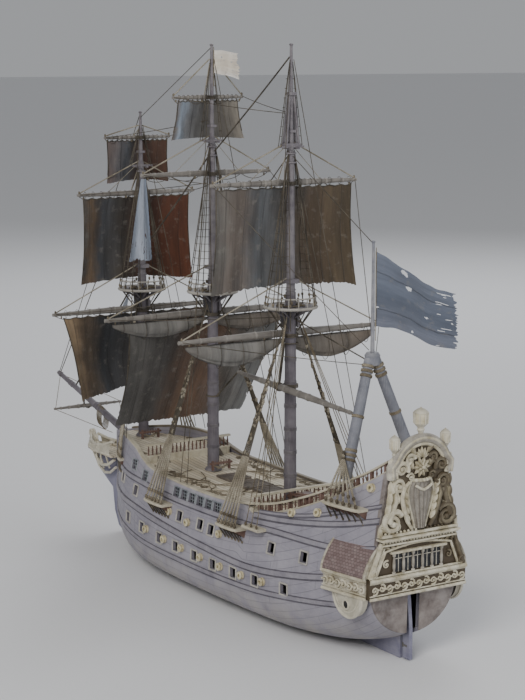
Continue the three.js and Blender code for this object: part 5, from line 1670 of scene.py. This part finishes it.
def build_transom():
    """Carved frieze, five windows between pilasters and a moulded arch above them."""
    parts, panes, wall, mullions = [], [], [], []
    wall.append(plate([(47.5, 76), (35.5, 108), (-35.5, 108), (-47.5, 76)], 0.2, 2.4,
                      lambda y, z, w: (stern_x(z, w), y, z)))
    wall.append(plate([(48.4, 60.6), (48.4, 77), (-48.4, 77), (-48.4, 60.6)], 0.2, 5.2,
                      lambda y, z, w: (stern_x(z, w), y, z)))
    piece("transom_boards", wall, materials["carved_dark"], replaces=["transom"])
    for z, out, r in ((61.4, 5.8, 1.3), (76.4, 6.2, 1.7), (78.6, 4.2, 1.0), (64.0, 5.4, 0.6),
                      (74.2, 5.5, 0.6)):
        parts.append(stern_tube([(-48.4, z), (48.4, z)], out, r, 8))
    for k in range(13):
        y = lerp(-44, 44, k / 12)
        flip = 1 if k % 2 else -1
        parts += stern_scroll(y, 69 + flip * 0.6, 3.6, flip * 1.2, 1.3, flip, 5.6, 0.95)
        if k < 12:
            parts.append(leaf(y + 3.7, 66.6 if flip > 0 else 71.4, flip * 1.1, 5.6, 2.6, 5.2, 1.1))
            parts.append(ball((stern_x(69, 6.0), y + 3.7, 69), 0.9, sides=8))
    for y in (-24, -14.4, -4.8, 4.8, 14.4, 24):
        mullions.append(lathe([(1.6, 0), (1.6, 1.2), (0.9, 1.8), (1.3, 5), (1.3, 8), (0.9, 13.5), (1.5, 14.4),
                               (1.6, 16.4)], (stern_x(88, 3.6), y, 79.6), sides=10))
    for y in (-19.2, -9.6, 0, 9.6, 19.2):
        panes.append(bar(stern_x(88, 2.5), y, 88, 0.8, 7.6, 15))
        mullions.append(bar(stern_x(88, 3.0), y, 88, 0.5, 0.5, 15))
        mullions.append(bar(stern_x(88, 3.0), y, 91.5, 0.5, 7.6, 0.5))
    parts.append(bar(stern_x(97, 3.6), 0, 97.2, 4.2, 56, 1.8))
    parts.append(stern_tube([(-41, 80)] + [(y, 97.5 + 5.2 * math.cos(y / 30 * 1.25)) for y in
                                           steps(-33, 33, 24)] + [(41, 80)], 3.6, 1.1, 8))

    def one_side():
        made = [stern_tube([(46.8, 78), (43.5, 87), (39.5, 97), (36.5, 106)], 3.2, [2.6, 2.2, 2.0, 1.8], 8)]
        made.append(stern_tube([(42.5, 79), (39.5, 88), (36, 96), (33.5, 102)], 3.0, 1.0, 6))
        made += stern_scroll(44.6, 81.5, 3.6, 1.0, 1.3, 1, 4.6, 1.1)
        made += stern_scroll(31.5, 88, 3.4, 2.0, 1.3, -1, 3.4, 0.9)
        for k in range(5):
            made.append(leaf(33.5 - 5.5 * k, 100.6, 0.35, 5.2, 2.4, 3.0, 1.2))
            made.append(leaf(lerp(45, 38, k / 4), lerp(82, 101, k / 4), 1.9, 5.4, 3.0, 4.0, 1.2))
        return made

    parts += mirrored(one_side)
    for k in range(25):
        parts.append(ball((stern_x(106, 5.4), -36 + 3 * k, 106.4), 0.95, sides=8))
    parts.append(bar(stern_x(104.6, 3.2), 0, 104.4, 5.8, 75.5, 1.4))
    parts.append(bar(stern_x(108, 3.6), 0, 108.2, 7.4, 75.5, 1.8))
    piece("transom_carving", parts, materials["carved_cream"])
    piece("stern_pilasters", mullions, materials["carved_grey"])
    piece("stern_windows", panes, materials["window_glass"])


def gallery_y(x):
    return 58.5 + (x + 206) * 0.17


def build_galleries():
    """Roofed side galleries: curved shingles above, a carved frieze and a round bracket below."""
    for side in SIDES:
        roof_rows, uvs = [], []
        profile = [(0.3, 77.6), (0.0, 80.5), (-1.2, 84), (-3.4, 89), (-6.4, 94), (-10.2, 99), (-14.4, 103),
                   (-19.5, 107)]
        girth = [0.0]
        for (a, b), (c, d) in zip(profile, profile[1:]):
            girth.append(girth[-1] + math.hypot(c - a, d - b))
        for x in steps(-253.5, -205.5, 30):
            roof_rows.append([(raked(x, z), side * (gallery_y(x) + out + 0.3), z) for out, z in profile])
            uvs.append([(x, g) for g in girth])
        points, faces = skin(roof_rows)
        mesh = bpy.data.meshes.new("roof")
        mesh.from_pydata([Vector(p) * MM for p in points], [], faces)
        flat = [p for row in uvs for p in row]
        layer = mesh.uv_layers.new(name="shingles")
        for loop in mesh.loops:
            layer.data[loop.index].uv = flat[loop.vertex_index]
        mesh.materials.append(materials["gallery_roof"])
        mesh.shade_smooth()
        roof = bpy.data.objects.new(f"gallery_roof_{SIDE_NAME[side]}", mesh)
        bpy.context.scene.collection.objects.link(roof)
        thick = roof.modifiers.new("thickness", "SOLIDIFY")
        thick.thickness = 1.4 * MM
        thick.offset = 0
        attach(roof, "hull")
        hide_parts(f"gallery_{SIDE_NAME[side]}")

        parts, boards = [], []
        rows = [[(raked(x, z), side * y, z) for y, z in
                 ((20, 60.8), (gallery_y(x) - 0.6, 60.8), (gallery_y(x) - 0.6, 77), (20, 77))]
                for x in steps(-252.6, -206, 8)]
        boards.append(skin(rows, wrap=True, caps=True))
        for end_x in (-252.8, -205.8):
            outline = [(20, 77), *[(gallery_y(end_x) + out, z) for out, z in profile], (20, 107)]
            boards.append(plate(outline, -0.6, 0.6, lambda y, z, w,
                                ex=end_x: (raked(ex, z) + w, side * y, z)))

        def along(z, out, radius):
            return tube([(raked(x, z), side * (gallery_y(x) + out), z) for x in steps(-254, -205.5, 16)],
                        radius, 7)
        parts += [along(61.4, 0.3, 1.3), along(76.6, 0.7, 1.6), along(64.2, 0.0, 0.6), along(74.2, 0.0, 0.6)]
        for k in range(7):
            x = lerp(-250, -209, k / 6)
            flip = 1 if k % 2 else -1
            spiral = scroll(0, 0, 3.5, flip * 1.2, 1.3, flip)
            radii = [0.95 * (1 - 0.5 * i / (len(spiral) - 1)) for i in range(len(spiral))]
            parts.append(tube([(raked(x + a, 69 + b), side * (gallery_y(x + a) + 0.1), 69 + b)
                               for a, b in spiral], radii, 6))
            parts.append(ball((raked(x + 3.4, 69), side * (gallery_y(x) + 0.4), 69), 1.0, sides=8))
            parts.append(ball((raked(x, 69), side * (gallery_y(x) + 0.6), 69), 1.1, sides=8))
        for x in (-252.8, -206.0):
            boards.append(tube([(raked(x, z), side * (gallery_y(x) + out + 0.5), z) for out, z in profile],
                               1.3, 7))
        piece(f"gallery_boards_{SIDE_NAME[side]}", boards, materials["carved_dark"])
        piece(f"gallery_carving_{SIDE_NAME[side]}", parts, materials["carved_cream"])

        def bracket_y(u, out=0.0):
            return side * (51.6 + 0.02 * (u + 231) + out)

        fan = []
        for share in steps(0, 1, 9):
            row = []
            for a in steps(math.pi, 2 * math.pi, 26):
                u, v = -231.5 + 19.5 * share * math.cos(a), 61 + 19.5 * share * math.sin(a)
                row.append((u, bracket_y(u, 0.9 * (1 - share ** 6)), v))
            fan.append(row)
        outer = fan[-1]
        fan.append([(x, y - side * 6, z) for x, y, z in outer])
        hole_at, hole = (-231, 52), 3.8
        ring = [(hole_at[0] + hole * math.cos(a), hole_at[1] + hole * math.sin(a)) for a in
                steps(0, 2 * math.pi, 20)]
        bracket = [skin(fan), tube(outer, 1.2, 7),
                   tube([(u, bracket_y(u, 1.2), v) for u, v in ring], 0.8, 7),
                   tube([(-231.5 + 15 * math.cos(a), bracket_y(-231.5 + 15 * math.cos(a), 0.8),
                          61 + 15 * math.sin(a)) for a in steps(math.pi + 0.1, 2 * math.pi - 0.1, 24)], 0.6,
                          6)]
        piece(f"gallery_bracket_{SIDE_NAME[side]}", bracket, materials["carved_pale"])
        # A black disc where the bracket has a hole: painted shade, as nothing is cut.
        piece(f"gallery_hole_shade_{SIDE_NAME[side]}", [lathe([(hole, 0), (hole - 0.4, 0.4), (0.1, 0.5)],
                                                        (-231, bracket_y(-231, 0.7), 52), (0, side, 0), 18)],
              materials["black_painted_shade"])


# ------------------------------------------------------------------ bow
def build_beakhead():
    planks, rails = [], []
    outline = [(243, 15.4), (256, 16.4), (270, 16.5), (282, 15.2), (292, 13.2), (300, 10), (305, 6), (308, 2)]
    for y in steps(-15, 15, 12):
        reach = curve_through([(p[1], p[0]) for p in outline[::-1]])(abs(y))
        if abs(y) > 14.5:
            reach = 284
        planks.append(bar((238 + reach) / 2, y, 81, reach - 238, 2.2, 1.8))
    piece("beakhead_planks", planks, materials["deck_wood"], replaces=["beakhead"])
    rim = [(x, y) for x, y in outline] + [(x, -y) for x, y in outline[::-1]]
    rails.append(tube([(x, y, 82.2) for x, y in rim], 1.2, 7))
    for side in SIDES:
        def rail(points, radius):
            path = [Vector(p) for p in points]
            fine = []
            for i in range(len(path) - 1):
                for t in steps(0, 1, 6)[:-1]:
                    fine.append(path[i].lerp(path[i + 1], t))
            fine.append(path[-1])
            return tube([(p.x, side * p.y, p.z) for p in fine], radius, 7)
        rails.append(rail([(240, 12, 96.5), (256, 14.5, 91), (276, 14.4, 87.4), (294, 10, 88),
                           (306, 4, 92)], 1.5))
        rails.append(rail([(242, 10, 77), (252, 12.5, 70), (266, 12, 67.5), (282, 8.6, 71), (296, 5, 80)],
                          1.6))
        rails.append(rail([(245, 7, 68), (254, 9, 61), (268, 8, 58.5), (284, 6, 62.5), (296, 4.5, 73)], 1.4))
        for x, top, low, y in ((252, 91.6, 66, 13.2), (264, 88.6, 64, 13.4), (276, 86.8, 64, 12),
                               (287, 86.6, 68, 9.8)):
            rails.append(tube([(x, side * y, top), (x + 1.5, side * (y + 0.8), (top + low) / 2),
                               (x + 1, side * (y - 3), low)], 1.0, 6))
        for k in range(9):
            x = 246 + 6 * k
            y = curve_through([(p[0], p[1]) for p in outline])(x) - 0.4
            rails.append(lathe([(0.9, 0), (0.5, 1), (0.8, 2.4), (0.5, 4)], (x, side * y, 82.6), sides=6))
        spiral = scroll(0, 0, 4.4, 3.4, 1.5, -1)
        rails.append(tube([(311 + a * 0.8, side * 1.4, 92 + b) for a, b in spiral],
                          [1.5 * (1 - 0.5 * i / 34) for i in range(35)], 7))
    rails.append(tube([(292, 0, 79), (300, 0, 83), (306, 0, 88), (309, 0, 94)], [3.4, 3.2, 2.8, 1.8], 8))
    for k in range(5):
        a = 0.9 + 0.35 * k
        rails.append(tube([(301, 0, 84), (301 + 6 * math.cos(a), 1.5, 84 + 6 * math.sin(a)),
                           (301 + 9 * math.cos(a - 0.3), 0, 84 + 9 * math.sin(a - 0.3))], [1.6, 1.2, 0.5], 6))
    for side in SIDES:
        rows = []
        for x in steps(243, 304, 20):
            y = curve_through([(p[0], p[1]) for p in outline])(x)
            top = curve_through([(240, 95), (256, 90.4), (276, 87), (294, 88), (306, 91)])(x)
            rows.append([(x, side * (y - 0.4), 80.4), (x, side * (y + 0.7), 83.5),
                         (x, side * (y - 0.9), top)])
        rails.append(skin(rows))
    piece("head_rails", rails, materials["carved_pale"])

    start, end = Vector((222, 0, 103)), Vector((388, 0, 146))
    count = 26
    spar = [tube([start.lerp(end, t) for t in steps(0.04, 1, count)],
                 [4.2 * (1 - 0.45 * t) for t in steps(0.04, 1, count)], 18)]
    for t in (0.42, 0.45, 0.48, 0.62, 0.8, 0.83, 0.97):
        r = 4.2 * (1 - 0.45 * t)
        spar.append(lathe([(r, -1.1), (r + 0.5, -0.8), (r + 0.5, 0.8), (r, 1.1)], start.lerp(end, t),
                          end - start, 16))
    piece("bowsprit_spar", spar, materials["spar_paint"], replaces=["bowsprit"])
    lashings = []
    for k in range(6):
        p = start.lerp(end, 0.36 + 0.012 * k)
        lashings.append(tube([(p.x + 3.9 * math.cos(a) * 0.3, 4.2 * math.sin(a),
                               p.z - 8 + (12.5 if math.cos(a) > 0
                              else 9) * math.cos(a)) for a in (2 * math.pi * i / 14 for i in range(14))],
                             0.45, 5, closed=True))
    for side in SIDES:
        lashings.append(rod((320, side * 38, 121.4), (384, 0, 145), 0.35, sides=5))
        lashings.append(rod((320, side * 38, 119.6), (250, side * 8, 104), 0.35, sides=5))
    piece("gammoning", lashings, materials["rope"])


def build_keel_and_rudder():
    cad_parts["keel"].data.materials.clear()
    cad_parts["keel"].data.materials.append(materials["keel_paint"])
    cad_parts["rudder"].data.materials.clear()
    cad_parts["rudder"].data.materials.append(materials["keel_paint"])
    irons = []
    for z in (12, 30, 48):
        irons.append(bar(-243, 0, z, 6, 4.4, 1.6))
        irons.append(rod((-240.5, 0, z - 2), (-240.5, 0, z + 2), 2.0, sides=12))
    piece("rudder_irons", irons, materials["iron"], "rudder")


def finish_decks():
    for name in ("forecastle_deck", "waist_deck", "quarter_deck", "poop_deck"):
        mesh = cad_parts[name].data
        mesh.materials.clear()
        mesh.materials.append(materials["deck_wood"])


# ------------------------------------------------------------------ assembly
materials = {
    "hull_paint": hull_paint(),
    "wale_paint": painted_wood("wale_paint", (0.195, 0.182, 0.215), (0.29, 0.275, 0.31), (0.42, 0.40, 0.42),
                               (0.05, 1, 1)),
    "wale_shadow": painted_wood("wale_shadow", (0.065, 0.059, 0.074), (0.115, 0.105, 0.128),
                                (0.20, 0.19, 0.215),
                                (0.05, 1, 1)),
    "keel_paint": painted_wood("keel_paint", (0.16, 0.155, 0.225), (0.24, 0.235, 0.31), (0.36, 0.355, 0.41),
                               (0.05, 1, 1)),
    "spar_paint": painted_wood("spar_paint", (0.085, 0.074, 0.086), (0.165, 0.150, 0.168),
                               (0.28, 0.26, 0.26)),
    "leg_paint": painted_wood("leg_paint", (0.125, 0.13, 0.155), (0.215, 0.22, 0.255), (0.37, 0.36, 0.355)),
    "yard_paint": painted_wood("yard_paint", (0.125, 0.112, 0.10), (0.23, 0.212, 0.19), (0.36, 0.335, 0.30),
                               (1, 0.06, 1)),
    "worn_rim": painted_wood("worn_rim", (0.20, 0.19, 0.175), (0.36, 0.34, 0.30), (0.52, 0.48, 0.42),
                             (1, 1, 1)),
    "rail_wood": painted_wood("rail_wood", (0.062, 0.032, 0.026), (0.13, 0.070, 0.055), (0.26, 0.175, 0.14),
                              (0.1, 1, 1)),
    "hatch_wood": painted_wood("hatch_wood", (0.055, 0.044, 0.037), (0.115, 0.096, 0.08), (0.24, 0.205, 0.17),
                               (0.2, 1, 1)),
    # Its hollows take a brown painted shade.
    "rail_cream": painted_wood("rail_cream", (0.36, 0.315, 0.225), (0.52, 0.47, 0.355), (0.64, 0.60, 0.49),
                               (0.06, 1, 1), hollow_shade=(0.07, 0.05, 0.035)),
    "frame_cream": painted_wood("frame_cream", (0.24, 0.225, 0.21), (0.42, 0.40, 0.36), (0.60, 0.57, 0.50),
                                (1, 1, 1)),
    "frame_grey": painted_wood("frame_grey", (0.12, 0.135, 0.155), (0.22, 0.24, 0.265), (0.40, 0.41, 0.42),
                               (1, 1, 1)),
    # Near-black painted shade for the dark inside ports, gun bores and the gallery holes.
    "black_painted_shade": painted_wood("black_painted_shade", (0.008, 0.008, 0.009), (0.02, 0.019, 0.02),
                                 (0.04, 0.038, 0.036),
                                 (1, 1, 1)),
    "iron": painted_wood("iron", (0.05, 0.048, 0.05), (0.10, 0.095, 0.09), (0.22, 0.20, 0.18), (1, 1, 1)),
    "deck_wood": deck_wood(),
    "carved_cream": carved_paint("carved_cream", (0.26, 0.22, 0.135), (0.52, 0.465, 0.33)),
    "carved_pale": carved_paint("carved_pale", (0.38, 0.35, 0.27), (0.60, 0.56, 0.46)),
    "carved_dark": carved_paint("carved_dark", (0.115, 0.09, 0.055), (0.23, 0.19, 0.13)),
    "carved_grey": carved_paint("carved_grey", (0.17, 0.15, 0.125), (0.30, 0.275, 0.24)),
    "gallery_roof": roof_shingles(),
    "brass": aged_brass(),
    "window_glass": dark_glass(),
    "horn_pane": carved_paint("horn_pane", (0.42, 0.36, 0.22), (0.66, 0.60, 0.44)),
    # The pale tan band at the fore course's port edge (share 1.0) is a painted highlight where light catches
    # the leech.
    "sail_fore": sail_cloth("sail_fore", 146, [(0.0, (0.13, 0.075, 0.045)), (0.3, (0.085, 0.075, 0.068)),
                                               (0.7, (0.060, 0.066, 0.075)), (0.86, (0.17, 0.125, 0.085)),
                                               (1.0, (0.50, 0.36, 0.22))]),
    "sail_main": sail_cloth("sail_main", 154, [(0.0, (0.27, 0.275, 0.27)), (0.2, (0.17, 0.155, 0.14)),
                                               (0.42, (0.19, 0.115, 0.075)), (0.62, (0.13, 0.09, 0.068)),
                                               (0.74, (0.095, 0.088, 0.082)), (1.0, (0.15, 0.145, 0.135))]),
    "sail_fore_upper": sail_cloth("sail_fore_upper", 123,
                                  [(0.0, (0.15, 0.055, 0.030)), (0.35, (0.10, 0.048, 0.032)),
                                                           (0.6, (0.085, 0.075, 0.065)),
                                                           (0.8, (0.085, 0.09, 0.10)),
                                                           (0.92, (0.19, 0.13, 0.08)),
                                                           (1.0, (0.13, 0.115, 0.10))]),
    "sail_fore_top": sail_cloth("sail_fore_top", 69,
                                [(0.0, (0.13, 0.065, 0.042)), (0.45, (0.11, 0.075, 0.06)),
                                                      (0.65, (0.115, 0.125, 0.14)),
                                                      (0.8, (0.18, 0.17, 0.175)),
                                                      (1.0, (0.22, 0.165, 0.145))]),
    "sail_main_top": sail_cloth("sail_main_top", 72, [(0.0, (0.40, 0.36, 0.30)), (0.2, (0.21, 0.19, 0.165)),
                                                      (0.55, (0.17, 0.165, 0.155)),
                                                      (0.8, (0.20, 0.205, 0.215)),
                                                      (0.9, (0.34, 0.40, 0.48)), (1.0, (0.25, 0.21, 0.18))]),
    "sail_mizzen": sail_cloth("sail_mizzen", 148, [(0.0, (0.115, 0.088, 0.055)), (0.3, (0.125, 0.09, 0.06)),
                                                   (0.5, (0.135, 0.13, 0.125)), (0.66, (0.14, 0.148, 0.157)),
                                                   (0.82, (0.165, 0.135, 0.115)),
                                                   (1.0, (0.17, 0.16, 0.145))]),
    "furled_cloth": sail_cloth("furled_cloth", 200, [(0.0, (0.20, 0.16, 0.125)), (0.45, (0.22, 0.20, 0.175)),
                                                     (0.8, (0.27, 0.265, 0.25)), (1.0, (0.20, 0.185, 0.165))],
                               (0.05, 0.045, 0.04), 66),
    "sail_blue": sail_cloth("sail_blue", 27, [(0.0, (0.33, 0.40, 0.52)), (0.5, (0.52, 0.57, 0.66)),
                                              (1.0, (0.40, 0.46, 0.56))], (0.12, 0.13, 0.16)),
    "flag_blue": sail_cloth("flag_blue", 62, [(0.0, (0.21, 0.235, 0.295)), (0.5, (0.13, 0.15, 0.195)),
                                              (1.0, (0.19, 0.205, 0.255))], (0.06, 0.068, 0.09), 31),
    "flag_pale": sail_cloth("flag_pale", 21, [(0.0, (0.90, 0.88, 0.84)), (0.6, (0.80, 0.74, 0.64)),
                                              (1.0, (0.88, 0.86, 0.82))], (0.42, 0.33, 0.22), 60),
    "rope": rope_fibre("rope", (0.15, 0.12, 0.08), (0.42, 0.365, 0.27)),
    "rope_pale": rope_fibre("rope_pale", (0.26, 0.225, 0.165), (0.56, 0.51, 0.41)),
    "rope_dark": rope_fibre("rope_dark", (0.06, 0.052, 0.042), (0.19, 0.165, 0.13)),
    "deadeye": rope_fibre("deadeye", (0.10, 0.08, 0.055), (0.34, 0.29, 0.21)),
}

build_stage()
build_hull()
build_wales()
build_port_frames()
build_windows()
build_guns()
finish_decks()
build_deck_fittings()
build_rails()
build_cross_rails()
for mast_name, mast_spec in MASTS.items():
    build_mast(mast_name, mast_spec)
build_aft_mast()
build_yards()
build_slings()
build_shrouds()
build_side_platform()
build_stays()
build_lifts()
build_braces()
build_sails()
build_flags()
build_taffrail()
build_lanterns()
build_transom()
build_galleries()
build_beakhead()
build_keel_and_rudder()
